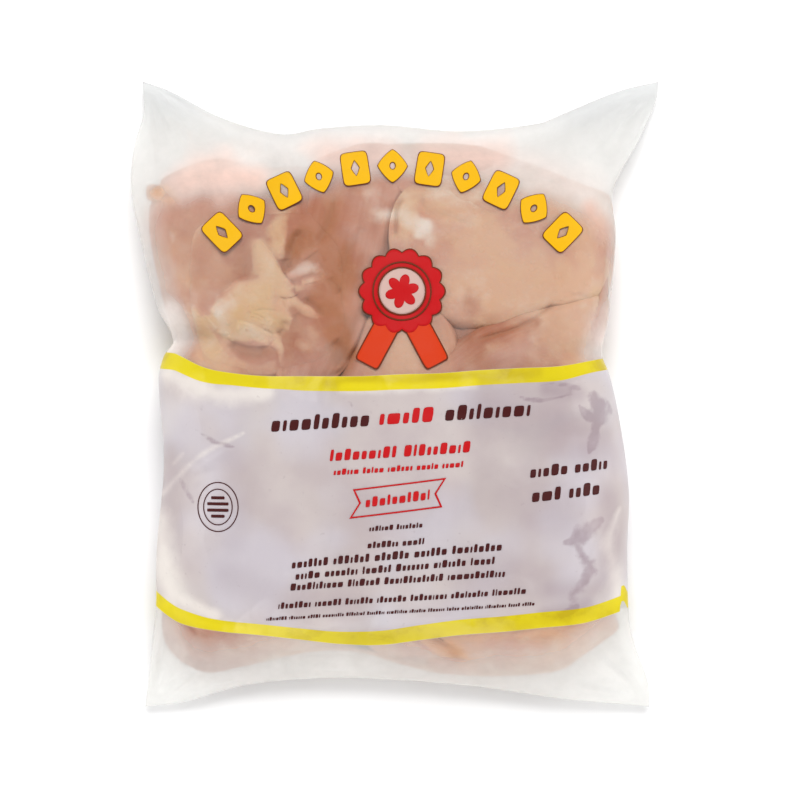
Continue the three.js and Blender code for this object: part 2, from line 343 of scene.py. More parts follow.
MEAT_CREASES = [  # path, depth and width; the depth also deepens the painted shade of the leg quarters there
    ([(42.4, 29.8), (53.2, 32.7), (66.2, 36.6), (76.3, 41.9), (84.9, 47.7), (90.7, 52.9)], 1.5, 1.3),
    ([(95.8, 53.6), (100.8, 56.3), (106.6, 55.8), (113.8, 55.3)], 1, 1.2),
    ([(4.1, 112.4), (0.3, 105.1), (-0.2, 96.5), (-0.8, 86.4)], 1.8, 1.6),
    ([(-58.6, 95), (-58.6, 84.2), (-62.5, 73.4)], 1.5, 1.2),
    ([(-53.5, 95), (-57.2, 85.2), (-61.2, 75.8), (-63.1, 69)], 3.5, 4),
    ([(-85.4, 45.9), (-79, 44.7), (-72.3, 40.8)], 0.8, 0.9),
    ([(-82.9, 43.7), (-77.5, 42), (-73.1, 39.5)], 0.5, 0.8),
    ([(-81.5, 46.7), (-74.6, 47.8), (-66.7, 46.7)], 0.7, 0.8),
    ([(-61.8, 42), (-64.8, 37), (-68.2, 33.1)], 2, 3),
    ([(-95.9, 28.7), (-88.3, 25.1), (-80, 23.3), (-70.7, 24.1)], 2.6, 3.2),
    ([(-53.5, 54.7), (-47.6, 50.8), (-39.3, 45.4)], 1.2, 2.4),
    ([(-38.8, 66.5), (-33.9, 60.6), (-30.9, 56.7)], 1.5, 2.5),
    ([(-35.8, 31.2), (-30.9, 23.3), (-28.9, 15.4)], 3, 5),
    ([(13, 117), (18, 105), (32, 101), (46, 94)], 1.6, 2),
    ([(68, 60), (84, 62), (97, 68)], 0.8, 3),
    ([(-138, 112), (-124, 118), (-112, 122)], 1, 1.2),
    ([(-136, 104), (-120, 106), (-108, 112)], 0.8, 1.4),
    ([(-34, 118), (-38, 98), (-46, 82)], 1.6, 3),
    ([(-16, 96), (-26, 84), (-32, 66)], 1.5, 3),
    ([(-10, 50), (-24, 40), (-30, 22)], 1.6, 3.5),
    ([(88, -134), (104, -139), (112, -137)], 1.2, 1.3),
    ([(60, -143), (78, -141), (90, -145)], 0.9, 1.4),
    ([(18, -138), (30, -144), (44, -150)], 2, 2.4),
    ([(-120, -134), (-106, -140), (-96, -136)], 0.8, 1.4),
]

# Strokes of colour on the meat

MEAT_STROKES = [  # path, half widths, what is added to how bare, fat, pale, gristly and deep it is; deep is painted shade, and in rows with much of it the other columns darken along
    ([(-79, 84.2), (-71.2, 68.5), (-74.1, 52.8), (-84.9, 41)], [10, 17, 26, 26], -0.6, 0.45, 0.08, 0, 0),
    ([(-103.6, 43.9), (-90.8, 38), (-78, 36.1), (-67.2, 40)], [8, 13, 14, 10], -0.6, 0.5, 0.2, 0, -1.5),
    ([(-99.6, 42), (-93.7, 39), (-85.9, 42)], [8, 10, 8], 0, 0.2, 0.1, 0, 0),
    ([(-114.4, 42.9), (-108.5, 33.1), (-104.5, 25.3), (-102.6, 16.4)],
     [8, 13, 15, 14], -0.5, 0.6, 0.05, 0, -2.5),
    ([(-95.2, 28), (-86.9, 24.7), (-79, 23.1), (-71.7, 23.7)], [4, 8, 9, 6], 0.8, -0.9, -0.7, 0, 6),
    ([(-58.4, 46.9), (-61.3, 37), (-59.4, 25.3), (-61.3, 15.4)],
     [9, 10, 8, 8], 0.25, 0.1, -0.15, 0.05, 3.6),
    ([(-57.4, 27.7), (-49.6, 26.2), (-38.8, 25.1)], [7, 8, 6], -0.2, 0, 0.28, 0, -1),
    ([(-67.2, 100.9), (-64.8, 90.1), (-63.5, 81.2)], [14, 13, 9], -0.4, 0.35, 0, 0, 0),
    ([(-58.4, 86.1), (-60.2, 77.3), (-62.5, 69.9)], [6, 6, 3.5], 0.3, -0.3, -0.2, 0.3, 9),
    ([(-100.6, 62.6), (-89.8, 65.5), (-84.9, 74.4)], [11, 11, 10], 0, 0, 0.2, 0, 1),
    ([(-98, 88), (-86, 76), (-80, 66)], [13, 14, 10], 0.25, 0, -0.1, 0, 2.4),
    ([(-53.5, 94), (-55.9, 83.2), (-59.4, 73.4)], [9, 10, 7], 0.6, 0, 0, 0.1, 7),
    ([(-38.8, 98.9), (-38.8, 82.2), (-33.9, 68.5), (-34.8, 48.8)], [18, 19, 19, 17], 0.6, 0, -0.1, 0, 7.5),
    ([(-28.9, 77.3), (-28, 67.5)], [9, 12], 0.3, 0, -0.1, 0, 4),
    ([(15.9, 97.2), (19.8, 83.7)], [9, 9], -0.2, 0.2, 0.4, 0, 0),
    ([(-53.5, 54.7), (-45.6, 54.7), (-38.8, 48.8)], [6, 7, 7], 0.2, 0.15, -0.1, 0.1, 3),
    ([(-35.8, 35.1), (-32.9, 25.3), (-30.9, 13.5)], [17, 19, 17], 0.5, 0, -0.1, 0, 8),
    ([(-112.9, 21.8), (-107.5, 18.4), (-102.6, 15.9)], [1.4, 1.6, 1.4], 0, 0, 0, 0.5, 4),
    ([(-124, 84), (-127, 60), (-124, 40)], [15, 16, 13], -0.1, 0, 0.3, 0, 0),
    ([(-110, 58), (-98, 52)], [10] * 2, 0, 0, 0.3, 0, 0),
    ([(7, 110.9), (7, 99.4), (5.5, 87.1)], [12, 13, 10], 0, 0.4, 0.2, 0, 0),
    ([(-6, 102.2), (-4.6, 93.6), (-6, 86.4)], [8, 9, 8], 0.3, 0, 0, 0, 1.5),
    ([(22, 117), (42, 114), (64, 112)], [14, 16, 14], -0.2, 0.35, 0.42, 0, 0),
    ([(2, 102), (14, 95)], [12] * 2, -0.3, 0.3, 0.45, 0, 0),
    ([(42.8, 29.5), (54.6, 32.1), (67.6, 35), (79.2, 40.2)], [3, 6.5, 6.5, 4], 0.4, 0, 0, 0.1, 4),
    ([(40, 20), (60, 14), (90, 10)], [13, 15, 13], 0.45, 0, -0.1, 0, 5.5),
    ([(41.9, 50.3), (53.2, 42.9)], [12, 13], 0.4, 0, -0.1, 0, 3),
    ([(66.2, 27.2), (79.2, 32.9), (86.4, 40.2)], [8, 8, 5], 0, 0, 0.3, 0, 0),
    ([(92.2, 48.1), (109.5, 50.3)], [5] * 2, 0, 0, 0.2, 0, 0),
    ([(38.7, 60.4), (41.6, 45.9), (40.2, 34.4)], [7, 9, 8], 0.2, 0, 0, 0, 2.6),
    ([(99.4, 95), (108.1, 90.7), (112.4, 77.7)], [8, 9, 8], 0.3, 0, 0.05, 0, 0),
    ([(-116, 126), (-88, 128), (-66, 118)], [20, 22, 18], -0.2, 0.1, 0.55, 0, 0),
    ([(-26, 134), (-12, 118), (-10, 100)], [14, 16, 12], -0.3, 0.1, 0.4, 0, 0),
    # painted light: paler at the upper right, where the meat lies in shade under the haze
    ([(30, 134), (64, 130), (98, 118), (122, 108)], [15, 18, 18, 14], 0, 0, 0.7, 0, 0),
    ([(118, 100), (122, 80), (119, 54), (116, 34)], [12, 13, 13, 12], -0.3, 0.35, 0.15, 0, 0),
    ([(-138, 118), (-131, 114), (-124, 111)], [5, 6.5, 3], 0, 0, -0.4, 0.62, 5.5),
    ([(-130.5, 93), (-128, 88)], [3.5] * 2, 0, 0, 0.25, 0, 0),
    # painted light: these two rows make the bottom paler, where less light reaches the bag's lower slope
    ([(-124, -144), (-90, -150), (-50, -146)], [20, 22, 18], 0, 0, 0.4, 0, 0),
    ([(0, -150), (50, -154), (106, -148)], [18, 22, 20], 0, 0, 0.4, 0, 0),
    ([(16, -141), (27, -146.5), (40, -155)], [4, 6.5, 5], 0.2, 0, -0.6, 1, 5),
    ([(-131, -132), (-124, -140)], [8] * 2, 0, 0, -0.2, 0.35, 0),
]

# Loose skin at the upper left, one sheet

SHEET_CENTRE = (-73, 58)
SHEET_REACH = (54, 55)
SHEET_EDGE = 0.84  # the share of the reach where the sheet starts to sink below the leg quarters
SHEET_CELL = 0.62
SHEET_THICKNESS = 2.5
SHEET_SINK = 10
FOLD_BLEND = 0.22  # millimetres over which the folds run into each other
COLOUR_BLEND = 1.2
POCKET_DEPTH = 8  # how far the leg quarters give way under it
SKIN_FOLDS = [  # path, half widths on its left and right, depth of its crest, height, bare, fat, pale; the pale is membrane, and on ridges a painted highlight along the crest
    ([(-80.5, 90.1), (-71.7, 79.3), (-64.3, 67.5), (-56.2, 57.2)],
     [1, 1.3, 1, 1.4], [3, 16, 22, 12], 0.3, 3, 0, 0.6, 0.18),
    ([(-63.3, 66), (-54.5, 70.9), (-47.1, 71.9), (-42.2, 68)],
     [3, 5, 5, 1.5], [3, 7, 7, 3], 0.2, 2.4, 0, 0, 0.6),
    ([(-44.9, 75.1), (-43.2, 70.9), (-39.2, 65.8)],
     [1] * 3, [2] * 3, 0.1, 2, 0, 0.45, 0.4),
    ([(-39.2, 65.6), (-46.6, 64.3), (-54.5, 62.4)],
     [1.2] * 3, [3] * 3, 0.3, 2.2, 0, 0.5, 0.2),
    ([(-58.4, 58.6), (-50.5, 60.6), (-43.7, 56.7)],
     [4, 5, 4], [6, 8, 6], 1.2, 2, 0.35, 0.5, -0.1),
    ([(-67.2, 62.6), (-58.4, 53.7), (-50.1, 47.7), (-40.2, 43.4)],
     [2.2, 2.8, 2.6, 1.5], [5, 6.5, 6, 2], 0.2, 2.6, 0.1, 0.5, 0),
    ([(-107.5, 45.4), (-93.7, 51.8), (-81, 56.7), (-67.2, 57.7)],
     [4, 7, 10, 9], [10, 17, 22, 18], 0, 1.6, 0, 0.65, 0.2),
    ([(-106.5, 45.4), (-99.1, 51), (-91.6, 56.2)],
     [1.8, 2.2, 2.6], [6, 8, 6], 0, 2.6, 0, 0.5, 0.45),
    ([(-103.6, 37.5), (-96.5, 31.9), (-88.3, 28.4), (-79, 27), (-69.2, 28)],
     [5, 14, 17, 17, 10], [0.9] * 5, 0, 3, 0, 0.6, 0.25),
    ([(-109.5, 45.4), (-105.7, 41), (-101.6, 35.9)],
     [0.9] * 3, [1.4] * 3, 0, 2.2, 0, 0.5, 0.55),
    ([(-116.1, 53.2), (-112.9, 44.9), (-106.5, 36.6), (-101.1, 27.2), (-100.4, 15)],
     [1.2] * 5, [4, 9, 13, 16, 13], 0, 2.6, 0, 0.75, 0.42),
    ([(-100.1, 19.2), (-89.8, 20.2), (-78, 18.4), (-64.3, 16.4)],
     [3] * 4, [5] * 4, 0.6, 2, 0.2, 0.4, 0.3),
    ([(-71.7, 28.4), (-67.2, 23.8), (-64.1, 13)],
     [6, 7, 7], [1] * 3, 0.1, 2.4, 0, 0.6, 0.25),
    ([(-59.4, 54.7), (-60.9, 45.9), (-64.3, 35.1)],
     [4] * 3, [9, 10, 8], 0.8, 2, 0.35, 0.55, -0.1),
    ([(-59.4, 28.2), (-51.5, 26.2), (-38.8, 25.3)],
     [6, 8, 5], [6, 8, 5], 1, 1.6, 0.4, 0, 0.2),
    ([(-55.5, 75.3), (-40.7, 85.2), (-22.1, 96)],
     [4, 6, 6], [1.5, 1.6, 1.6], 0.2, 1.8, 0.8, 0, 0.12),
    ([(-42.2, 75.3), (-33.9, 81.2), (-22.1, 87.9)],
     [3, 3.5, 4], [1.4] * 3, 0.3, 1.8, 0.85, 0, 0.1),
    ([(-83.9, 45.7), (-76.1, 44.1), (-68.7, 39.8)],
     [1.3] * 3, [5, 6, 5], 0, 1.3, 0, 0.6, 0.25),
    ([(-90.8, 41), (-81, 37.5), (-73.1, 32.1)],
     [1.5] * 3, [6, 7, 6], 0, 1.2, 0, 0.6, 0.2),
    ([(-73.1, 98.9), (-68.2, 90.1), (-64.3, 81.2), (-63.1, 75.3)],
     [12, 11, 8, 3], [14, 14, 10, 4], 1.2, 1.4, 0.2, 0.6, 0),
    ([(-67.2, 53.2), (-63.3, 46.9), (-59.4, 41)],
     [1.4] * 3, [4, 5, 4], 0.3, 1.6, 0.1, 0.5, 0.1),
]

CORE_ROWS = 150
CORE_COLUMNS = 130
CORE_REACH = (0.86, 0.78)  # of the film's own reach, across and along
CORE_CORNERS = 0.36  # how much its corners are drawn in
CORE_DEPTH = 6.5  # under the film
KNOBS = [  # x, y, half sizes and turn of the gristle at cut joints
    (-137.5, 116.5, 8.5, 5.5, 8),
    (33, -148, 10, 5.5, -34),
]
KNOB_ROWS = 26
KNOB_AROUND = 40
KNOB_HALF_HEIGHT = 4
KNOB_DEPTH = 6.2  # of its middle under the film


# Small tools


def mix(a, b, share):
    """a where share is 0, b where it is 1, and straight in between."""
    return a + (b - a) * share


def smooth_step(low, high, value):
    """0 below low, 1 above high, and the curve 3k squared - 2k cubed in between."""
    share = np.clip((value - low) / (high - low), 0, 1)
    return share * share * (3 - 2 * share)


def hump(distance, width):
    """A bell curve, e to the minus (distance / width) squared."""
    return np.exp(-((distance / width) ** 2))


def noise(points, cell, seed):
    """Smooth random values from -1 to 1: one random number for each cell corner, blended by smooth_step.

    points has its 2 or 3 coordinates along the last axis.
    """
    size = 32
    dimensions = points.shape[-1]
    lattice = np.random.default_rng(seed).uniform(-1, 1, (size,) * dimensions)
    scaled = points / cell
    corner = np.floor(scaled).astype(int)
    share = scaled - corner
    share = share * share * (3 - 2 * share)
    total = np.zeros(points.shape[:-1])
    for step in np.ndindex(*(2,) * dimensions):
        index = tuple((corner[..., k] + step[k]) % size for k in range(dimensions))
        weight = np.ones(points.shape[:-1])
        for k in range(dimensions):
            weight = weight * (share[..., k] if step[k] else 1 - share[..., k])
        total += weight * lattice[index]
    return total


def plan_noise(x, y, cell, seed):
    """The same noise over places in the plan."""
    return noise(np.stack([x, y], -1), cell, seed)


def through_landmarks(landmarks, at):
    """A cubic through landmarks (place, value), whose slope at each is that between its two neighbours."""
    knots = np.asarray(landmarks, float)
    places = knots[:, 0]
    values = knots[:, 1]
    order = np.arange(len(places))
    before = np.maximum(order - 1, 0)
    after = np.minimum(order + 1, len(places) - 1)
    slopes = (values[after] - values[before]) / (places[after] - places[before])
    i = np.clip(np.searchsorted(places, at, side="left") - 1, 0, len(places) - 2)
    span = places[i + 1] - places[i]
    f = np.clip((at - places[i]) / span, 0, 1)
    rise = f * f * (3 - 2 * f)
    leave = f * (1 - f) ** 2 * span * slopes[i]
    arrive = f * f * (1 - f) * span * slopes[i + 1]
    return mix(values[i], values[i + 1], rise) + leave - arrive


def even_landmarks(values, share):
    """The same cubic through values that stand at even shares from 0 to 1."""
    places = np.linspace(0, 1, len(values))
    return through_landmarks(list(zip(places, values)), share)


def turned(x, y, turn):
    """(x, y) turned about the origin by an angle in degrees."""
    cos = np.cos(np.radians(turn))
    sin = np.sin(np.radians(turn))
    return x * cos - y * sin, x * sin + y * cos


def end_fade(share, ease):
    """1 along a path, falling to 0 over a share of it at each end."""
    return smooth_step(0, ease, share) * (1 - smooth_step(1 - ease, 1, share))


def near_path(x, y, path, pieces=18):
    """Distance to the smooth path through its landmarks, the nearest share of it, and its side.

    The path is taken as short straight pieces, and the nearest of the nearest points on them is kept. The
    side is -1 right and 1 left of the path.
    """
    k = np.linspace(0, 1, pieces + 1)
    path_x, path_y = [even_landmarks(values, k) for values in zip(*path)]
    best = np.full(np.shape(x), np.inf)
    share = np.zeros(np.shape(x))
    side = np.ones(np.shape(x))
    for i in range(pieces):
        dx = path_x[i + 1] - path_x[i]
        dy = path_y[i + 1] - path_y[i]
        along = np.clip(((x - path_x[i]) * dx + (y - path_y[i]) * dy) / (dx * dx + dy * dy), 0, 1)
        off_x = x - path_x[i] - along * dx
        off_y = y - path_y[i] - along * dy
        distance = np.hypot(off_x, off_y)
        nearer = distance < best
        share = np.where(nearer, (i + along) / pieces, share)
        side = np.where(nearer, np.where(dx * off_y - dy * off_x < 0, -1, 1), side)
        best = np.minimum(best, distance)
    return best, share, side


def over_width(x, y, path, widths, uneven=1.0):
    """Distance to a path over the half width there: 0 on the path and 1 at its border."""
    distance, share, _ = near_path(x, y, path, 12)
    return distance * uneven / even_landmarks(widths, share)


def strokes(x, y, rows, uneven=1.0):
    """What the rows (path, half widths, amounts) add up to: all on a path and nothing beyond its border."""
    added = [np.zeros(np.shape(x)) for _ in rows[0][2:]]
    for path, widths, *amounts in rows:
        weight = 1 - smooth_step(0, 1, over_width(x, y, path, widths, uneven))
        for total, amount in zip(added, amounts):
            total += weight * amount
    return added


def soft_limit(value, limit, ease):
    """value, bent over so that it never passes limit: past limit - ease it nears limit exponentially."""
    over = np.maximum(value - (limit - ease), 0)
    return np.minimum(value, limit - ease) + ease * (1 - np.exp(-over / ease))


# The bag's skin


def edge(landmarks, share, along_y):
    """A point of one outline edge, at a share of its length from 0 to 1, as (x, y)."""
    at = mix(landmarks[0][0], landmarks[-1][0], share)
    value = through_landmarks(landmarks, at)
    return (value, at) if along_y else (at, value)


def outline_point(u, v):
    """The patch stretched between the four edges: across + along - the flat patch of the four corners."""
    left = edge(LEFT_EDGE, v, True)
    right = edge(RIGHT_EDGE, v, True)
    bottom = edge(BOTTOM_EDGE, u, False)
    top = edge(TOP_EDGE, u, False)
    found = []
    for axis in range(2):
        low = mix(edge(LEFT_EDGE, 0.0, True)[axis], edge(RIGHT_EDGE, 0.0, True)[axis], u)
        high = mix(edge(LEFT_EDGE, 1.0, True)[axis], edge(RIGHT_EDGE, 1.0, True)[axis], u)
        found.append(mix(left[axis], right[axis], u) + mix(bottom[axis], top[axis], v) - mix(low, high, v))
    return found


def sheet_place(x, y):
    """(s, t) of the points (x, y) on the flat sheet, each from -1 to 1, by Newton steps from a guess."""
    u = (x - LEFT_EDGE[0][1]) / (RIGHT_EDGE[0][1] - LEFT_EDGE[0][1])
    v = (y - LEFT_EDGE[0][0]) / (LEFT_EDGE[-1][0] - LEFT_EDGE[0][0])
    step = 0.001
    past = 0.05
    for _ in range(8):
        x0, y0 = outline_point(u, v)
        x1, y1 = outline_point(u + step, v)
        x2, y2 = outline_point(u, v + step)
        xu, yu = (x1 - x0) / step, (y1 - y0) / step
        xv, yv = (x2 - x0) / step, (y2 - y0) / step
        det = xu * yv - xv * yu
        u = np.clip(u + ((x - x0) * yv - (y - y0) * xv) / det, -past, 1 + past)
        v = np.clip(v + ((y - y0) * xu - (x - x0) * yu) / det, -past, 1 + past)
    return 2 * u - 1, 2 * v - 1


def fullness(s, t):
    """1 in the middle, 0 at the outline and in the ears: round across, pinched along, corners cut off."""
    a = np.minimum(np.abs(s), 1)
    b = np.minimum(np.abs(t), 1)
    across = (1 - a**SIDE_POWER) ** SIDE_BEND
    along = (1 - b**END_POWER) ** END_BEND
    return across * along * (1 - smooth_step(EAR_CUT_FROM, EAR_CUT_TO, (a * b) ** 2))


def mid_height(s, t):
    """Height of the sheet midway between the films: high in the middle, low at the welds and the tips."""
    end = np.abs(t) ** MID_POWER
    return mix(mix(CENTRE_HEIGHT, WELD_HEIGHT, end), mix(SIDE_HEIGHT, TIP_HEIGHT, end), s * s)


def domes(quarters, x, y):
    """Overlapping domes, one over each leg quarter, joined by a soft maximum: about 1 on a dome.

    Each is lift * e to the minus half the cube of the distance from its centre, in its own half sizes.
    """
    total = np.zeros(np.shape(x))
    for centre_x, centre_y, long, short, turn, lift in quarters:
        along, across = turned(x - centre_x, y - centre_y, -turn)
        away = (along / long) ** 2 + (across / short) ** 2
        total += (lift * np.exp(-0.5 * away**1.5)) ** DOME_MERGE
    return total ** (1 / DOME_MERGE)


def tip_polar(x, y, s, t):
    """Angle and distance of each point from the nearest ear tip."""
    tip_x, tip_y = outline_point(np.where(s < 0, 0.0, 1.0), np.where(t < 0, 0.0, 1.0))
    dx = (tip_x - x) * np.where(s < 0, -1, 1)
    dy = (tip_y - y) * np.where(t < 0, -1, 1)
    return np.arctan2(dy, dx), np.hypot(dx, dy)


def ear_folds(x, y, s, t):
    """Folds that fan out from the nearest tip, as a sine of the angle there, and die away inland."""
    angle, away = tip_polar(x, y, s, t)
    fade = smooth_step(*FOLD_START, away) * hump(away, FOLD_REACH)
    return FOLD_HEIGHT * np.sin(FOLD_COUNT * angle + 2 * s) * fade


def waist_dent(x, y, s):
    """How far the film is drawn in beside a waist."""
    dent = np.zeros(np.shape(x))
    for side, waist_y in WAISTS:
        edge_x = through_landmarks(LEFT_EDGE if side < 0 else RIGHT_EDGE, waist_y)
        dent += WAIST_DEPTH * hump(y - waist_y, WAIST_WIDTH) * hump((edge_x - x) * side, WAIST_REACH)
    return dent * (1 - np.minimum(np.abs(s), 1) ** 8)


def above_table(height):
    """The larger of a height and the table, with a soft bend between them."""
    eased = (np.clip(height, -TABLE_EASE, TABLE_EASE) + TABLE_EASE) ** 2 / (4 * TABLE_EASE)
    return np.where(height >= TABLE_EASE, height, eased)


def skin_height(x, y, s, t, upper, ear_gap):
    """Height of the film above the table over the sheet place (s, t), with the two films ear_gap apart."""
    full = fullness(s, t)
    loose = 1 - smooth_step(0, LOOSE_BELOW, full)
    sheet = mid_height(s, t) + ear_folds(x, y, s, t) * loose
    grip = smooth_step(*GRIP, full)
    quarters = UPPER_QUARTERS if upper else UNDER_QUARTERS
    dome = DOME_HEIGHT * (domes(quarters, x, y) - DOME_LEVEL) * grip - waist_dent(x, y, s) * grip
    if upper:
        least = above_table(sheet - ear_gap / 2) + ear_gap
        return np.maximum(sheet + np.maximum(HALF_DEPTH * full + dome, 0) + ear_gap / 2, least)
    drop = HALF_DEPTH * UNDERSIDE_FULLNESS * full + dome
    return above_table(sheet - np.maximum(drop, 0) - ear_gap / 2)


def crowd_to_edges(step):
    """Even steps from -1 to 1 drawn closer together towards both ends."""
    return mix(step, np.sin(step * np.pi / 2), CROWDING)


def crowded_grid(columns, rows):
    """The sheet places (s, t) of a grid with that many cells, closer together near its border."""
    across, along = [crowd_to_edges(np.linspace(-1, 1, cells + 1)) for cells in (columns, rows)]
    return np.meshgrid(across, along)


@functools.lru_cache
def bag_shift():
    """What moves the skin's own millimetres to the packed body: equal box centres and undersides."""
    s, t = crowded_grid(CAD_COLUMNS, CAD_ROWS)
    x, y = outline_point((s + 1) / 2, (t + 1) / 2)
    low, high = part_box(NODE)
    bottom = skin_height(x, y, s, t, False, EAR_THICKNESS).min()
    return np.array([
        (low.x + high.x) / 2 / MM - (x.min() + x.max()) / 2,
        (low.y + high.y) / 2 / MM - (y.min() + y.max()) / 2,
        low.z / MM - bottom,
    ])


# Creases of the film


def single_creases(x, y):
    """Sharp ridges along the paths of CREASES: height times e to the minus distance / width."""
    total = np.zeros(np.shape(x))
    for path, height, width in CREASES:
        distance, share, _ = near_path(x, y, path)
        total += height * np.exp(-distance / width) * end_fade(share, 0.22)
    return total


def patches(x, y, paths):
    """A patch's strength on its path and below 0 beyond it: the largest of strength - distance / width."""
    total = np.full(np.shape(x), NO_PATCH)
    for path, widths, strength in paths:
        total = np.maximum(total, strength - over_width(x, y, path, widths))
    return total


def film_veils(x, y):
    """How much more the clear film covers at each place, and the share of it that is a painted peach glow
    of light through the flesh.
    """
    uneven = 1 + 0.3 * plan_noise(x, y, 11, 93)
    cover = np.zeros(np.shape(x))
    peach = np.zeros(np.shape(x))
    for path, widths, amount, warm in FILM_VEILS:
        weight = 1 - smooth_step(0, 1.25, over_width(x, y, path, widths, uneven))
        cover = mix(cover, 1, weight * amount)
        peach = np.maximum(peach, weight * warm)
    return cover, peach


def crumple(x, y, seed):
    """Random soft facets with sharp ridges between them: 1 - |noise|, raised to a power, on bent places."""
    place = np.stack([x, y], axis=-1)
    bend = np.stack([noise(place, CRUMPLE_BEND, seed), noise(place, CRUMPLE_BEND, seed + 1)], axis=-1)
    wide = 1 - np.abs(noise(place + 9 * bend, CRUMPLE_WIDE, seed + 2))
    fine = 1 - np.abs(noise(place + 5 * bend, CRUMPLE_FINE, seed + 3))
    return wide**7 + 0.4 * fine**6


def fine_creases(x, y, s, t):
    """Height of the film's finer creases: fans at the ears, pleats at the welds, ridges, soft facets."""
    full = fullness(s, t)
    loose = 1 - smooth_step(0.1, 0.7, full)
    angle, away = tip_polar(x, y, s, t)
    fan = FINE_FOLD_HEIGHT * np.sin(FINE_FOLD_COUNT * angle + 5 * plan_noise(x, y, 30, 3))
    fan = fan * smooth_step(*FINE_FOLD_START, away) * hump(away, FINE_FOLD_REACH) * loose
    top_y = outline_point((s + 1) / 2, np.ones_like(t))[1]
    bottom_y = outline_point((s + 1) / 2, np.zeros_like(t))[1]
    from_weld = np.minimum(top_y - y, y - bottom_y)
    phase = 2 * np.pi * x / GATHER_PITCH + 4 * noise(np.stack([x, y * 0.2], -1), 26, 5)
    gather = GATHER_HEIGHT * np.sin(phase) * smooth_step(0, 12, from_weld) * hump(from_weld, GATHER_REACH)
    soft = CRUMPLE_HEIGHT * crumple(x, y, 11) * smooth_step(0.02, 0.3, 1 - np.abs(s))
    seam = WELD_RELIEF * hump(from_weld - WELD_INSET, WELD_WIDTH)
    return fan + gather * (1 - s**6) + single_creases(x, y) + soft + seam


class Film:
    """The two faces of the film as arrays [row, column, xyz], in the packed body's millimetres."""

    def __init__(self):
        self.steps = np.linspace(-1, 1, PLACE_STEPS)
        self.crowded = crowd_to_edges(self.steps)
        self.s, self.t = crowded_grid(FILM_COLUMNS, FILM_ROWS)
        x, y = outline_point((self.s + 1) / 2, (self.t + 1) / 2)
        self.x, self.y = x, y
        upper = skin_height(x, y, self.s, self.t, True, EAR_GAP)
        lower = skin_height(x, y, self.s, self.t, False, EAR_GAP)
        rim = np.minimum(1 - np.abs(self.s), 1 - np.abs(self.t))
        inland = smooth_step(0, RIM_EASE, rim)
        both = (1 - smooth_step(0.05, 0.5, fullness(self.s, self.t))) * inland
        crease = fine_creases(x, y, self.s, self.t) * inland
        upper = upper + crease
        lower = np.maximum(lower + crease * both, 0)
        upper = np.maximum(upper, lower + CLEAR_GAP * smooth_step(0, 0.01, rim))
        border = rim <= 1e-9
        middle = (upper + lower) / 2
        upper = np.where(border, middle, upper)
        lower = np.where(border, middle, lower)
        shift = bag_shift()
        self.upper = np.stack([x, y, upper], axis=-1) + shift
        self.lower = np.stack([x, y, lower], axis=-1) + shift
        self.upper_normal = grid_normals(self.upper)

    def grid_place(self, s, t):
        """Row and column, with their fractions, of the sheet places (s, t)."""
        column = (np.interp(s, self.crowded, self.steps) + 1) / 2 * FILM_COLUMNS
        row = (np.interp(t, self.crowded, self.steps) + 1) / 2 * FILM_ROWS
        return row, column

    def on_top(self, x, y, lift):
        """Points of the upper film at (x, y), lifted along its normal: blended between the four nearest."""
        shift = bag_shift()
        row, column = self.grid_place(*sheet_place(x - shift[0], y - shift[1]))
        i = np.clip(np.floor(row).astype(int), 0, FILM_ROWS - 1)
        j = np.clip(np.floor(column).astype(int), 0, FILM_COLUMNS - 1)
        fi = (row - i)[..., None]
        fj = (column - j)[..., None]
        found = []
        for grid in (self.upper, self.upper_normal):
            near = mix(grid[i, j], grid[i, j + 1], fj)
            far = mix(grid[i + 1, j], grid[i + 1, j + 1], fj)
            found.append(mix(near, far, fi))
        return found[0] + found[1] * lift


@functools.lru_cache
def film_faces():
    """The film, worked out once."""
    return Film()


def grid_normals(points):
    """Unit normals of a grid [row, column, xyz]: the cross product of its two directions."""
    across = np.gradient(points, axis=1)
    along = np.gradient(points, axis=0)
    normal = np.cross(across, along)
    return normal / np.maximum(np.linalg.norm(normal, axis=-1, keepdims=True), 1e-12)


# What the contents may fill


def meat_room(x, y):
    """(x, y) drawn in to the room that the meat takes, bending over softly at its four ends."""
    y = soft_limit(y, through_landmarks(MEAT_TOP, x), MEAT_EASE)
    y = -soft_limit(-y, -through_landmarks(MEAT_BOTTOM, x), MEAT_EASE)
    x = soft_limit(x, through_landmarks(MEAT_RIGHT, y), MEAT_EASE)
    x = -soft_limit(-x, -through_landmarks(MEAT_LEFT, y), MEAT_EASE)
    return x, y


def past_ends(x, y):
    """How far (x, y) lies beyond the top, the bottom and the nearer side of the meat, below 0 inside it."""
    top = y - through_landmarks(MEAT_TOP, x)
    bottom = through_landmarks(MEAT_BOTTOM, x) - y
    side = np.maximum(x - through_landmarks(MEAT_RIGHT, y), through_landmarks(MEAT_LEFT, y) - x)
    return top, bottom, side


def film_room(x, y, clearance):
    """The lowest and highest place for something at (x, y) that keeps clearance to both films.

    The film's height is read a little further out than each point, so that its steep sides clear it too.
    """
    s, t = sheet_place(x, y)
    grown = 1 + STEEP_MARGIN * clearance
    s, t = [np.clip(place * grown, -ROOM_LIMIT, ROOM_LIMIT) for place in (s, t)]
    ceiling = skin_height(x, y, s, t, True, EAR_GAP) - clearance
    floor = skin_height(x, y, s, t, False, EAR_GAP) + clearance
    middle = (ceiling + floor) / 2
    return np.minimum(floor, middle), np.maximum(ceiling, middle)


# Making meshes


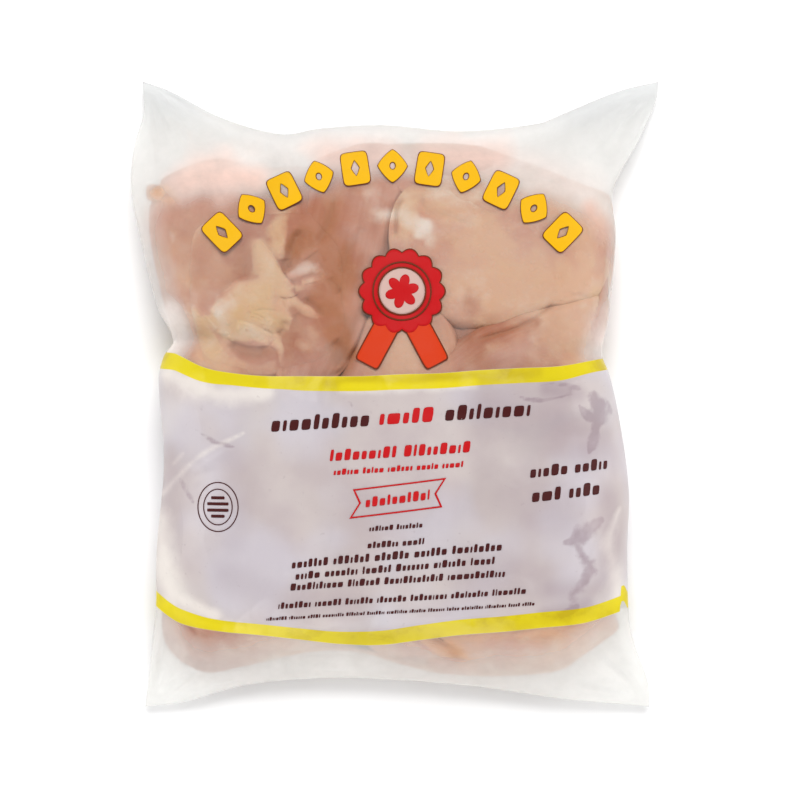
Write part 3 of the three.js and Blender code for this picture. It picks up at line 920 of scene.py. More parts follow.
def new_object(name, vertices, faces, material, values=None, uv=None, join=None):
    """A smooth piece from millimetre points, face lists, point values and corner coordinates.

    With join, vertices closer than that many metres become one, and every face is turned outwards.
    """
    mesh = bpy.data.meshes.new(name)
    mesh.from_pydata((vertices * MM).tolist(), [], faces)
    for label, value in (values or {}).items():
        attribute = mesh.attributes.new(label, "FLOAT", "POINT")
        attribute.data.foreach_set("value", np.asarray(value, np.float32).ravel())
    if uv is not None:
        layer = mesh.uv_layers.new(name="UVMap")
        corners = np.empty(len(mesh.loops), np.int32)
        mesh.loops.foreach_get("vertex_index", corners)
        layer.data.foreach_set("uv", uv[corners].astype(np.float32).ravel())
    mesh.polygons.foreach_set("use_smooth", np.ones(len(mesh.polygons), bool))
    mesh.materials.append(material)
    made = bpy.data.objects.new(name, mesh)
    bpy.context.scene.collection.objects.link(made)
    if join is not None:
        bm = bmesh.new()
        bm.from_mesh(mesh)
        bmesh.ops.remove_doubles(bm, verts=bm.verts, dist=join)
        bmesh.ops.recalc_face_normals(bm, faces=bm.faces)
        bm.to_mesh(mesh)
        bm.free()
    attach(made, BODY)
    return made


def face_pair(upper, lower):
    """Quads of two grids of vertex numbers: the upper one's face up and the lower one's face down."""
    quads = []
    for grid, turn in ((upper, 1), (lower, -1)):
        corners = [grid[:-1, :-1], grid[:-1, 1:], grid[1:, 1:], grid[1:, :-1]][::turn]
        quads += np.stack([c.ravel() for c in corners], axis=-1).tolist()
    return quads


def two_faced_object(name, upper, lower, material, values, uv_scale=None, join=None):
    """A closed piece between two grids [row, column, xyz] that share their border.

    The upper one's vertices come first, then the lower one's inner ones. Each value is one grid for both
    faces, a pair of grids, or a number.
    """
    inner = np.s_[1:-1, 1:-1]
    shape = upper.shape[:2]

    def listed(value):
        top, bottom = value if isinstance(value, tuple) else (value, value)
        top = np.broadcast_to(top, shape)
        bottom = np.broadcast_to(bottom, shape)
        return np.concatenate([top.ravel(), bottom[inner].ravel()])

    vertices = np.concatenate([upper.reshape(-1, 3), lower[inner].reshape(-1, 3)])
    numbers = np.arange(upper[..., 0].size).reshape(shape)
    under = numbers.copy()
    under[inner] = numbers.size + np.arange(under[inner].size).reshape(under[inner].shape)
    uv = None if uv_scale is None else vertices[:, :2] * MM * uv_scale
    values = {label: listed(value) for label, value in values.items()}
    return new_object(name, vertices, face_pair(numbers, under), material, values, uv, join)


def tube_indices(rows, around):
    """Faces of a closed body: vertex 0 is one pole, then rows of points around, then the other pole."""
    ring = 1 + np.arange(rows * around).reshape(rows, around)
    turned = np.roll(ring, -1, axis=1)
    quads = np.stack([ring[:-1], turned[:-1], turned[1:], ring[1:]], axis=-1).reshape(-1, 4).tolist()
    last = 1 + rows * around
    first_cap = np.stack([np.zeros(around, int), turned[0], ring[0]], axis=-1).tolist()
    last_cap = np.stack([np.full(around, last), ring[-1], turned[-1]], axis=-1).tolist()
    return quads + first_cap + last_cap


# Shader tools


class Value:
    """A shader socket that can stand in a Python sum: each operation adds one Math node."""

    def __init__(self, shader, socket):
        self.shader = shader
        self.socket = socket

    def math(self, operation, *others):
        return self.shader.node("Math", {"operation": operation}, [self, *others])

    def __add__(self, other):
        return self.math("ADD", other)

    def __mul__(self, other):
        return self.math("MULTIPLY", other)

    def __sub__(self, other):
        return self.math("SUBTRACT", other)

    def __rsub__(self, other):
        return self.shader.node("Math", {"operation": "SUBTRACT"}, [other, self])

    __radd__ = __add__


class Shader:
    """A new material with one Principled surface, and the node calls that fill it.

    A colour is given as four numbers or as the name of one of the settings.
    """

    def __init__(self, name, settings=None, **constants):
        self.settings = settings
        self.material = bpy.data.materials.new(name)
        self.material.use_nodes = True
        self.tree = self.material.node_tree
        self.surface = self.tree.nodes["Principled BSDF"]
        for label, value in constants.items():
            self.surface.inputs[label.replace("_", " ")].default_value = value
        self.object_place = self.node("TexCoord", output="Object")

    def node(self, kind, settings=None, inputs=(), output=0):
        """One node: its settings first, then its inputs, by order or by name, and the output as a Value."""
        made = self.tree.nodes.new("ShaderNode" + kind)
        for label, value in (settings or {}).items():
            setattr(made, label, value)
        named = inputs.items() if isinstance(inputs, dict) else enumerate(inputs)
        for key, value in named:
            self.feed(made.inputs[key], value)
        return Value(self, made.outputs[output])

    def feed(self, socket, value):
        """Links a Value to a socket, or sets the socket to a number or colour."""
        if isinstance(value, Value):
            self.tree.links.new(value.socket, socket)
        elif isinstance(value, str):
            socket.default_value = colour(getattr(self.settings, value))
        else:
            socket.default_value = value

    def attribute(self, label):
        """A float that the mesh carries."""
        return self.node("Attribute", {"attribute_name": label}, output="Fac")

    def step(self, value, low, high):
        """0 below low and 1 above high, smooth between them."""
        return self.node(
            "MapRange",
            {"interpolation_type": "SMOOTHSTEP"},
            {"Value": value, "From Min": low, "From Max": high},
        )

    def noise(self, scale, detail=2.0, place=None, roughness=0.5):
        """Blender's noise, about 0 to 1, at cells per metre."""
        inputs = {"Vector": place or self.object_place, "Scale": scale, "Detail": detail,
                  "Roughness": roughness}
        return self.node("TexNoise", None, inputs, output="Fac")

    def blend(self, factor, a, b):
        """Colour a where the factor is 0 and b where it is 1."""
        made = self.tree.nodes.new("ShaderNodeMix")
        made.data_type = "RGBA"
        self.feed(made.inputs[0], factor)
        self.feed(made.inputs[6], a)
        self.feed(made.inputs[7], b)
        return Value(self, made.outputs[2])

    def layers(self, base, rows):
        """The base with each row's colour laid over it, by that row's factor."""
        for factor, over in rows:
            base = self.blend(factor, base, over)
        return base

    def bump(self, height, distance, strength=1.0):
        """A normal from a height, in metres when distance is 1."""
        return self.node("Bump", None, {"Height": height, "Distance": distance, "Strength": strength})

    def set(self, label, value):
        """Feeds the Principled surface."""
        self.feed(self.surface.inputs[label], value)


def colour(rgb):
    """Linear red, green and blue as a shader colour."""
    return (*rgb, 1.0)


# Settings


def tint(name, description, rgb):
    """A colour property, in linear values."""
    return FloatVectorProperty(
        name=name, description=description, default=rgb, subtype="COLOR", size=3, min=0, max=1
    )


def real(name, description, default, **kind):
    """A real number property; kind can name its subtype or unit."""
    return FloatProperty(name=name, description=description, default=default, **kind)


class FilmSettings(PropertyGroup):
    """The film's finish."""

    haze_touching: real("Haze touching", "Cover of the film where meat touches it", 0.06, subtype="FACTOR")
    haze_apart: real("Haze apart", "Cover of the film where it stands off the meat", 0.56, subtype="FACTOR")
    haze_from: real("Haze from", "Gap, in millimetres, at which the film starts to turn milky", 1.2)
    haze_depth: real("Haze depth", "Further gap, in millimetres, over which it turns milky", 9.0)
    film_colour: tint("Film", "Milky film", (0.803, 0.795, 0.771))
    # painted shade: the upper ears' film darkened towards their welds, where the light falls brightest
    film_shaded: tint("Film at the tips", "Film of the upper ears, greyer towards their welds",
                      (0.60, 0.61, 0.615))
    # painted light: the glow of light passing through the flesh and the film
    film_peach: tint("Film over flesh", "Milky film that flesh shines through", (0.845, 0.605, 0.525))
    band_cover: real("Band cover", "Cover of the band's ink", 0.82, subtype="FACTOR")
    band_colour: tint("Band", "Ink of the band", (0.520, 0.452, 0.459))
    band_light: tint("Band apart", "Ink of the band where it stands off the meat", (0.639, 0.580, 0.554))
    band_cool: tint("Band cool", "Bluish tinge in the band", (0.599, 0.578, 0.651))
    band_white: tint("Band loose", "Ink of the band where it stands far off", (0.768, 0.713, 0.66))
    band_dark: tint("Band wet", "Ink of the band where it lies wet on the meat", (0.304, 0.232, 0.268))
    stripe_colour: tint("Stripes", "Stripes along the band", (0.654, 0.540, 0.011))
    # also the stripes' random mottle and the painted shade along the upper stripe's middle
    stripe_dark: tint("Stripes wet", "Stripes where they lie on the meat", (0.487, 0.368, 0.010))


class MeatSettings(PropertyGroup):
    """The colours of the raw meat, with the painted shade of its recesses."""

    skin_colour: tint("Skin", "Smooth skin", (0.501, 0.295, 0.188))
    pink_colour: tint("Pink", "Flushed skin", (0.428, 0.21, 0.143))
    muscle_colour: tint("Muscle", "Bare muscle", (0.321, 0.125, 0.075))
    fat_colour: tint("Fat", "Fat and thick skin", (0.517, 0.331, 0.201))
    yolk_colour: tint("Yellow fat", "Deep yellow fat", (0.50, 0.315, 0.145))
    # wet membrane, and also the painted highlight on fold crests and painted light where less light falls
    pale_colour: tint("Pale", "Wet membrane", (0.589, 0.501, 0.437))
    joint_colour: tint("Joint", "Gristle at a cut joint", (0.553, 0.295, 0.152))
    # painted shade: the colour that recesses between the leg quarters are darkened towards
    deep_colour: tint("Deep", "Meat deep between the leg quarters", (0.321, 0.133, 0.067))


class PrintSettings(PropertyGroup):
    """The inks."""

    ink_lift: real("Ink lift", "Millimetres from the film to the underside of the ink", 0.12)
    ink_thickness: real("Ink thickness", "In millimetres", 0.08)
    yellow: tint("Yellow", "Arch of blocks", (0.72, 0.39, 0.002))
    outline: tint("Outline", "Thin outlines", (0.133, 0.022, 0.006))
    red: tint("Red", "Rosette and red bars", (0.46, 0.005, 0.007))
    pale: tint("Pale", "Middle of the rosette", (0.536, 0.365, 0.321))
    orange: tint("Orange", "Ribbons of the rosette", (0.56, 0.036, 0.004))
    maroon: tint("Maroon", "Dark bars", (0.053, 0.006, 0.006))


class StageSettings(PropertyGroup):
    """Camera, floor and light."""

    camera_height: real("Camera height", "Above the table", 1.87, unit="LENGTH")
    frame_width: real("Frame width", "Width seen at the bag's widest line", 0.464, unit="LENGTH")
    key_power: real("Key", "Power of the main light, in watts", 38.0)
    fill_power: real("Fill", "Power of the front light, in watts", 24.0)
    world_strength: real("World", "Strength of the white surroundings", 0.25)
    floor_colour: tint("Floor", "Plain pale floor", (0.93, 0.93, 0.93))


# Materials


def film_material(settings):
    """Milky film with the printed band: haze grows with the gap behind it, ink hides what is under it; the
    upper ears get painted shade and film over flesh a painted peach glow.
    """
    m = Shader("film", settings, Roughness=0.3, IOR=1.5, Specular_IOR_Level=0.12)
    gap = m.attribute("gap")
    below_top = m.attribute("below_top")
    above_bottom = m.attribute("above_bottom")
    cloud = m.noise(28, 3.0)
    streak = m.noise(140, 4.0)
    wisp = m.noise(55, 5.0, roughness=0.6)
    over = (gap - settings.haze_from).math("MAXIMUM", 0.0)
    apart = 1 - (over * (-1 / settings.haze_depth)).math("EXPONENT")
    haze = apart * (settings.haze_apart - settings.haze_touching) + settings.haze_touching
    haze = haze + (cloud - 0.5) * 0.08 + (wisp - 0.5) * 0.14 + (streak - 0.5) * 0.03
    veil = (m.attribute("veil") * (0.3 + wisp * 1.4)).math("MINIMUM", 1.0)
    haze = haze + veil * (0.95 - haze)
    clear_film = m.layers("film_colour", [
        # painted light: peach glow over the flesh
        (m.attribute("peach") * (0.7 + wisp * 0.5), "film_peach"),
        # painted shade on the upper ears
        (m.attribute("tip") * (0.65 + wisp * 0.3), "film_shaded"),
    ])
    shade = m.attribute("shade")
    darker = shade.math("MAXIMUM", 0.0)
    band = m.step(below_top, -0.02, 0.02) * m.step(above_bottom, -0.02, 0.02)
    inner = m.step(below_top, 0.98, 1.02) * m.step(above_bottom, 0.98, 1.02)
    stripe = band * (1 - inner)
    wet = m.step(m.attribute("wet") + (wisp - 0.5) * 1.9 + (streak - 0.5) * 1.0, -0.1, 0.5)
    wet = wet * (m.step(m.noise(75, 3.0), 0.3, 0.6) * 0.5 + 0.5)
    loose = m.step(m.attribute("loose") + (wisp - 0.5) * 1.4, -0.4, 1.0)
    ink = m.layers("band_colour", [
        (m.step(cloud, 0.3, 0.7) * 0.6 + apart * 0.4, "band_light"),
        (m.step(m.noise(17, 2.0), 0.42, 0.66) * 0.6, "band_cool"),
        (loose * 0.75, "band_white"),
        (darker, "band_dark"),
        ((shade * -1).math("MAXIMUM", 0.0), "band_white"),
        (wet * 0.66, "band_dark"),
        (m.step(m.noise(330, 2.0), 0.66, 0.76) * m.step(cloud, 0.42, 0.6) * 0.22, "band_dark"),
    ])
    # the stripes' darker tone: random mottle, wet patches on the meat, and the band's shade strokes, which
    # are painted shade along the upper stripe's middle
    dark_tone = m.step(cloud, 0.4, 0.62) * 0.35 + m.step(wisp, 0.5, 0.64) * 0.4 + wet * 0.45 + darker * 0.9
    stripe_ink = m.blend(dark_tone * (1 - loose), "stripe_colour", "stripe_dark")
    printed = m.blend(stripe, ink, stripe_ink)
    m.set("Base Color", m.blend(band, clear_film, printed))
    m.set("Alpha", haze * (1 - band) + band * (settings.band_cover + stripe * 0.1 + loose * 0.08))
    m.set("Roughness", 0.26 + streak * 0.10)
    grain = m.noise(260, 3.0) * 0.6 + m.noise(70, 2.0) * 1.4
    m.set("Normal", m.bump(grain, 0.0006, 0.45))
    return m.material


def meat_material(settings):
    """Raw chicken: skin, flushed skin, bare muscle with fibres, membrane and fat, by the piece's values;
    depth paints shade into recesses, and pale is membrane with painted highlight and painted light.
    """
    m = Shader("raw_chicken", settings, Roughness=0.5, Specular_IOR_Level=0.14, Subsurface_Weight=0.22,
               Subsurface_Radius=(1.0, 0.42, 0.25), Subsurface_Scale=0.005)
    muscle = m.attribute("muscle")
    fat = m.attribute("fat")
    flush = m.noise(26, 3.0)
    mottle = m.noise(95, 4.0)
    fine = m.noise(420, 3.0)
    along = m.node("UVMap", {"uv_map": "UVMap"})
    fibre_place = m.node("VectorMath", {"operation": "MULTIPLY"}, [along, (22, 200, 1)])
    fibres = m.noise(1.0, 3.0, fibre_place)
    pores = m.node("TexVoronoi", {"feature": "F1"}, {"Vector": m.object_place, "Scale": 230.0},
                   output="Distance")
    pore = 1 - m.step(pores, 0.12, 0.42)
    blotch = m.noise(46, 5.0, roughness=0.62)
    bruise = m.noise(62, 4.0)
    skin = m.layers("skin_colour", [
        (m.step(flush, 0.38, 0.68), "pink_colour"),
        (m.step(mottle, 0.45, 0.75) * 0.4, "fat_colour"),
        (pore * 0.04, "pale_colour"),
        (m.step(blotch, 0.52, 0.68) * 0.17, "pale_colour"),
    ])
    flesh = m.layers("muscle_colour", [
        (m.step(fibres * 0.32 + flush * 0.68, 0.34, 0.68), "pink_colour"),
        (m.step(mottle, 0.55, 0.80) * 0.35, "skin_colour"),
        (m.step(blotch, 0.50, 0.66) * 0.2, "fat_colour"),
    ])
    body = m.layers(skin, [
        (m.step(muscle + (flush - 0.5) * 0.7, 0.25, 0.80), flesh),
        (m.step(bruise, 0.54, 0.74) * 0.13, "muscle_colour"),
        (m.step(fat + (mottle - 0.5) * 0.8, 0.35, 0.80) * 0.85, "fat_colour"),
        (m.step(fat, 0.7, 1.6), "yolk_colour"),
        (m.step(m.attribute("pale") + (mottle - 0.5) * 0.6, 0.2, 1.0), "pale_colour"),
        (m.step(m.attribute("joint") + (mottle - 0.5) * 0.3, 0.1, 0.9), "joint_colour"),
        # painted shade: the deeper a place lies under the film, the darker
        (m.step(m.attribute("depth"), 1.5, 11.0) * 0.8, "deep_colour"),
    ])
    m.set("Base Color", body)
    m.set("Roughness", 0.44 + mottle * 0.2)
    height = mottle * 0.8 + fine * 0.25 + pore * (1 - muscle) * 0.3 + fibres * muscle * 0.25
    m.set("Normal", m.bump(height, 0.0012, 0.5))
    return m.material


def ink_material(name, rgb):
    """Flexible printing ink: slightly uneven cover and a soft sheen."""
    m = Shader(name, Roughness=0.6, Specular_IOR_Level=0.12)
    speckle = m.noise(900, 3.0)
    patch = m.noise(60, 3.0)
    tone = m.blend(m.step(patch, 0.3, 0.75) * 0.5, colour(rgb), colour([mix(c, 0.4, 0.025) for c in rgb]))
    m.set("Base Color", tone)
    m.set("Roughness", 0.52 + speckle * 0.16)
    m.set("Normal", m.bump(speckle, 0.0001, 0.3))
    return m.material


# The contents


def meat_creases(x, y):
    """Depth of the folds along the paths of MEAT_CREASES: a bell across each, fading out at its ends."""
    total = np.zeros(np.shape(x))
    for path, deep, width in MEAT_CREASES:
        distance, share, _ = near_path(x, y, path)
        total = np.maximum(total, deep * hump(distance, width) * end_fade(share, 0.2))
    return total


def meat_strokes(x, y):
    """What MEAT_STROKES add at each place, with uneven borders."""
    return strokes(x, y, MEAT_STROKES, 1 + 0.35 * plan_noise(x, y, 6, 91))


def sheet_reach(x, y):
    """0 in the middle of the sheet of loose skin and 1 at its reach, with an uneven outline."""
    across = np.abs((x - SHEET_CENTRE[0]) / SHEET_REACH[0])
    along = np.abs((y - SHEET_CENTRE[1]) / SHEET_REACH[1])
    return (across**3 + along**3) ** (1 / 3) + 0.05 * plan_noise(x, y, 19, 61)


def pockets(x, y):
    """How far the leg quarters give way under the sheet of loose skin."""
    return POCKET_DEPTH * (1 - smooth_step(0.6, SHEET_EDGE, sheet_reach(x, y)))


def joint_tint(x, y):
    """1 at the cut joints, falling off as a bell of each one's own size."""
    total = np.zeros(np.shape(x))
    for centre_x, centre_y, long, short, turn in KNOBS:
        along, across = turned(x - centre_x, y - centre_y, -turn)
        total = np.maximum(total, hump(np.hypot(along / long, across / short), 1.1))
    return total


def swept_leg(path, widths, seed):
    """A leg quarter as rows of points around a bent centre line: x, y, height share, half height, length.

    The section is a superellipse, across = wide * cos^0.8 and up = sin^0.8, and it shrinks to a point at
    the ends by (1 - |2k - 1|^4)^0.5. Noise swells it here and there.
    """
    k = (1 - np.cos(np.linspace(0, np.pi, LEG_ROWS + 2))) / 2
    path = np.array(path, float)
    centre = np.stack([even_landmarks(path[:, 0], k), even_landmarks(path[:, 1], k)], axis=-1)
    for past, reach, share in (
        (path[0] - path[1], widths[0] * BACK_REACH, 1 - smooth_step(0, 0.3, k)),
        (path[-1] - path[-2], widths[-1] * HOCK_REACH, smooth_step(0.7, 1, k)),
    ):
        centre = centre + share[:, None] * past / np.linalg.norm(past) * reach
    cap = np.clip(1 - np.abs(2 * k - 1) ** 4, 0, 1) ** 0.5
    wide = (even_landmarks(widths, k) * cap)[:, None]
    tangent = np.gradient(centre, axis=0)
    tangent /= np.linalg.norm(tangent, axis=1, keepdims=True)
    outward = np.stack([tangent[:, 1], -tangent[:, 0]], axis=-1)
    phi = np.linspace(0, 2 * np.pi, LEG_AROUND, endpoint=False)
    across, up = [np.sign(side) * np.abs(side) ** SECTION_POWER for side in (np.cos(phi), np.sin(phi))]
    up = np.broadcast_to(up, (len(k), LEG_AROUND))
    plan = centre[:, None] + outward[:, None] * (wide * across)[..., None]
    body = np.concatenate([plan, (wide * up)[..., None]], axis=-1)
    swell = sum(height * noise(body, cell, seed + i) for i, (height, cell) in enumerate(SWELLS))
    swell = 1 + swell / np.maximum(wide, SWELL_WIDTH)
    plan = centre[:, None] + outward[:, None] * (wide * across * swell)[..., None]
    length = np.concatenate([[0], np.cumsum(np.linalg.norm(np.diff(centre, axis=0), axis=1))])
    return plan[..., 0], plan[..., 1], up * swell, wide * DEPTH_SHARE, length


def leg_object(name, leg, upper, seed, material):
    """One leg quarter, laid against the upper or the lower film.

    A point's distance from its film is high * (1 - up) - press, kept above 0 by the soft maximum
    (d + sqrt(d squared + 4)) / 2, and then deepened by folds, grooves and the pockets under loose skin.
    Where the bag's sides press the piece inwards it follows the film closely.
    """
    path, widths, press, bareness, fatness = leg
    free_x, free_y, up, high, length = swept_leg(path, widths, seed)
    x, y = meat_room(free_x, free_y)
    snug = smooth_step(0, SNUG_REACH, np.abs(free_x - x))
    floor, ceiling = film_room(x, y, FILM_CLEARANCE)
    sign = 1 if upper else -1
    facing = smooth_step(-0.1, 0.35, sign * up)
    below = high * (1 - sign * up) - press
    below = ((below + np.sqrt(below**2 + 4)) / 2 - SOFT_TOUCH) * (1 - SNUG_SHARE * snug)
    place = np.stack([x, y, high * up], axis=-1)
    fold_place = np.stack([x + 0.6 * y, y * 0.5, place[..., 2]], -1)
    folds = np.maximum(1 - np.abs(noise(fold_place, 21, seed + 2)) * 3.2, 0) ** 2
    mask = smooth_step(0.1, 0.6, noise(place, 40, seed + 3))
    girth = np.linspace(0, 1, LEG_AROUND, endpoint=False) * 2 * np.pi * GIRTH
    grain = np.stack(np.broadcast_arrays(length[:, None] * 0.12, girth[None, :]), axis=-1)
    groove = 1.3 * folds * mask + bareness * 0.15 * np.abs(noise(grain, FIBRE_CELL, seed + 4))
    crease = meat_creases(x, y) if upper else np.zeros_like(x)
    if upper:
        below = np.maximum(below, pockets(x, y) * facing)
    below = below + facing * (crease + groove)
    z = ceiling - below if upper else floor + below
    points = np.stack([x, y, np.clip(z, floor, ceiling)], axis=-1) + bag_shift()
    poles = points[[0, -1]].mean(axis=1)
    vertices = np.concatenate([poles[:1], points[1:-1].reshape(-1, 3), poles[1:]])

    def listed(value):
        value = np.broadcast_to(value, points.shape[:2])
        return np.concatenate([value[0, :1], value[1:-1].ravel(), value[-1, :1]])

    uv = np.stack([listed(length[:, None]), listed(girth[None, :])], axis=-1) * MM
    bare, fat, pale, joint, deep = meat_strokes(x, y) if upper else [0] * 5
    inside = 1 - smooth_step(-22, -4, np.maximum.reduce(past_ends(x, y)))
    values = {
        "muscle": listed(bareness + 0.25 * noise(place, 55, seed + 5) + bare),
        "fat": listed(fatness + 0.35 * folds * mask + 0.25 * noise(place, 45, seed + 6) + fat),
        "pale": listed(0.12 * smooth_step(0.3, 0.8, noise(place, 26, seed + 7)) + pale),
        "joint": listed(joint_tint(x, y) + joint if upper else 0.0),
        # painted shade: darker the further under the film, in creases and grooves, and by the strokes' deep
        # column
        "depth": listed(np.minimum(below, DEEPEST_PAINTED_SHADE) * inside + 1.2 * crease + groove + deep),
    }
    return new_object(name, vertices, tube_indices(LEG_ROWS, LEG_AROUND), material, values, uv)


def fold_depth(x, y, fold, seed):
    """How deep one fold's surface lies under the film, and how much of its own colour it shows.

    With q the distance from the path over the half width, the fold rises by (1 - q squared) to the power
    0.5 on a narrow flank and 1.6 on a wide one, and sinks away at the ends of its path.
    """
    path, left, right, crest, height = fold[:5]
    distance, share, side = near_path(x, y, path)
    wide = np.where(side > 0, even_landmarks(left, share), even_landmarks(right, share))
    width = wide * (1 + 0.16 * plan_noise(x, y, 7, seed))
    q = np.clip(distance / width, 0, 1)
    soft = smooth_step(2, 6, wide)
    fade = end_fade(share, 0.12)
    rise = (1 - q * q) ** mix(0.5, 1.6, soft) * fade
    run = np.stack([side * distance, share * 20], axis=-1)
    wrinkle = 0.5 * np.abs(noise(run, 4.2, seed + 1)) + 0.2 * np.abs(noise(run * 2, 3, seed + 2))
    depth = crest + height * (1 - rise) + wrinkle * rise + 1.3 * np.maximum(distance - width, 0)
    return depth, (1 - soft * smooth_step(0.5, 1, q)) * fade


def sheet_object(material):
    """The loose skin: one closed sheet whose upper face is the soft minimum of all the folds' depths.

    depth = -k ln(sum of e^(-d / k)), and each fold colours the sheet by its share of that sum. Near its
    edge the sheet sinks under the leg quarters.
    """
    steps = [np.linspace(-1, 1, int(2 * reach / SHEET_CELL) + 1) * reach for reach in SHEET_REACH]
    x, y = meat_room(*np.meshgrid(SHEET_CENTRE[0] + steps[0], SHEET_CENTRE[1] + steps[1]))
    reach = sheet_reach(x, y)
    middle = 1 - smooth_step(0.3, 0.74, reach)
    waves = 0.7 * plan_noise(x, y, 12, 62) + 0.3 * plan_noise(x, y, 5, 63)
    base = 0.4 + (2.6 + waves) * middle
    folds = [fold_depth(x, y, fold, 700 + 10 * i) for i, fold in enumerate(SKIN_FOLDS)]
    depths = np.stack([base] + [depth for depth, _ in folds])
    least = depths.min(axis=0)
    below = least - FOLD_BLEND * np.log(np.exp(-(depths - least) / FOLD_BLEND).sum(axis=0))
    shares = np.exp(-(depths - least) / COLOUR_BLEND)
    shares = shares[1:] / shares.sum(axis=0) * np.stack([own for _, own in folds])
    bare = mix(0.6, 0.95, smooth_step(-96, -62, x + 0.3 * (y - 60)))
    muscle, fat, pale = [sum(w * fold[i] for w, fold in zip(shares, SKIN_FOLDS)) for i in (5, 6, 7)]
    muscle = muscle + (1 - shares.sum(axis=0)) * bare
    below = np.maximum(below, 0) + meat_creases(x, y)
    stroked = meat_strokes(x, y)
    floor, ceiling = film_room(x, y, FILM_CLEARANCE)
    top = np.clip(ceiling - below - SHEET_SINK * smooth_step(SHEET_EDGE, 1.0, reach), floor, ceiling)
    under = np.maximum(top - SHEET_THICKNESS, floor - 0.2)
    upper, lower = [np.stack([x, y, z], axis=-1) + bag_shift() for z in (top, under)]
    values = {
        "muscle": muscle + 0.2 * plan_noise(x, y, 24, 64) + stroked[0],
        "fat": fat + 0.2 * plan_noise(x, y, 16, 65) + stroked[1],
        "pale": pale + 0.15 * plan_noise(x, y, 9, 66) + stroked[2],
        "joint": stroked[3],
        # painted shade: darker the further under the film
        "depth": 1.3 * below + stroked[4],
    }
    return two_faced_object("loose_skin", upper, lower, material, values, UV_SCALE)


def core_object(material):
    """What lies deep between the leg quarters: the film's own form, drawn in, with a rounded plan."""
    p, q = crowded_grid(CORE_COLUMNS, CORE_ROWS)
    s = CORE_REACH[0] * p * np.sqrt(1 - CORE_CORNERS * q * q)
    t = CORE_REACH[1] * q * np.sqrt(1 - CORE_CORNERS * p * p)
    x, y = outline_point((s + 1) / 2, (t + 1) / 2)
    floor, ceiling = film_room(x, y, FILM_CLEARANCE)
    round_off = np.clip(1 - np.maximum(np.abs(p), np.abs(q)) ** 4, 0, 1) ** 0.5
    waves = 2.2 * plan_noise(x, y, 16, 77) + 1.2 * plan_noise(x, y, 7, 78)
    below = CORE_DEPTH + pockets(x, y) * 0.6 + waves
    middle = (floor + ceiling) / 2
    half = np.maximum((ceiling - floor) / 2 - below, 1) * round_off
    upper, lower = [np.stack([x, y, z], axis=-1) + bag_shift() for z in (middle + half, middle - half)]
    values = {
        "muscle": 0.65 + 0.3 * plan_noise(x, y, 30, 79),
        "fat": 0.25 * plan_noise(x, y, 20, 80),
        "pale": 0.0,
        "joint": joint_tint(x, y),
        # painted shade: darker the further under the film
        "depth": below,
    }
    return two_faced_object("meat_core", upper, lower, material, values, UV_SCALE, 1e-6)


def knob_object(name, x, y, long, short, turn, seed, material):
    """A lump of gristle just under the film: an ellipsoid with noise on it, cut flat by the film."""
    lat = np.linspace(0, np.pi, KNOB_ROWS + 2)[:, None]
    phi = np.linspace(0, 2 * np.pi, KNOB_AROUND, endpoint=False)[None, :]
    ball = np.cos(lat), np.sin(lat) * np.cos(phi), np.sin(lat) * np.sin(phi)
    local = np.stack(np.broadcast_arrays(*ball), axis=-1) * (long, short, KNOB_HALF_HEIGHT)
    local = local * (1 + 0.25 * noise(local + 50, 5, seed))[..., None]
    across, along = turned(local[..., 0], local[..., 1], turn)
    floor, ceiling = film_room(x + across, y + along, FILM_CLEARANCE)
    z = np.clip(ceiling - KNOB_DEPTH + local[..., 2], floor, ceiling)
    points = np.stack([x + across, y + along, z], axis=-1) + bag_shift()
    vertices = np.concatenate([points[:1, 0], points[1:-1].reshape(-1, 3), points[-1:, 0]])
    place = vertices[:, :2]
    plain = np.zeros(len(vertices))
    values = {
        "muscle": plain + 0.2,
        "fat": 0.3 + 0.3 * noise(place, 4, seed),
        "pale": plain,
        "joint": joint_tint(vertices[:, 0], vertices[:, 1]),
        # slight, uneven painted shade
        "depth": 1 + noise(place, 5, seed + 1),
    }
    return new_object(name, vertices, tube_indices(KNOB_ROWS, KNOB_AROUND), material, values, place * MM)


# How far the contents lie behind the film

MAP_CELL = 1.5
MAP_REACH = 5  # cells over which the gap is averaged, three times
EMPTY_GAP = 25.0
NOTHING = -1e6
END_GAP = 14  # how far the film lifts off at the meat's ends and sides
SIDE_GAP = 8
TOP_LIFT = (-33, 3)  # distances past each end between which it does
BOTTOM_LIFT = (-32, 3)
RIGHT_LIFT_FROM = -8
LEFT_LIFT_FROM = -20
STEEP_SHARE = 0.35  # of the gap where the film stands upright
SKIN_TOUCH = 0.65  # how much less gap loose skin and gristle leave
JOINT_TOUCH = 0.8


def box_average(grid, cells):
    """The average over a square of cells, from running sums along the rows and then the columns."""
    half = cells // 2
    for axis in (0, 1):
        pad = [(0, 0), (0, 0)]
        pad[axis] = (half + 1, half)
        total = np.cumsum(np.pad(grid, pad, mode="edge"), axis=axis)
        size = grid.shape[axis]
        grid = (total.take(range(cells, cells + size), axis) - total.take(range(size), axis)) / cells
    return grid


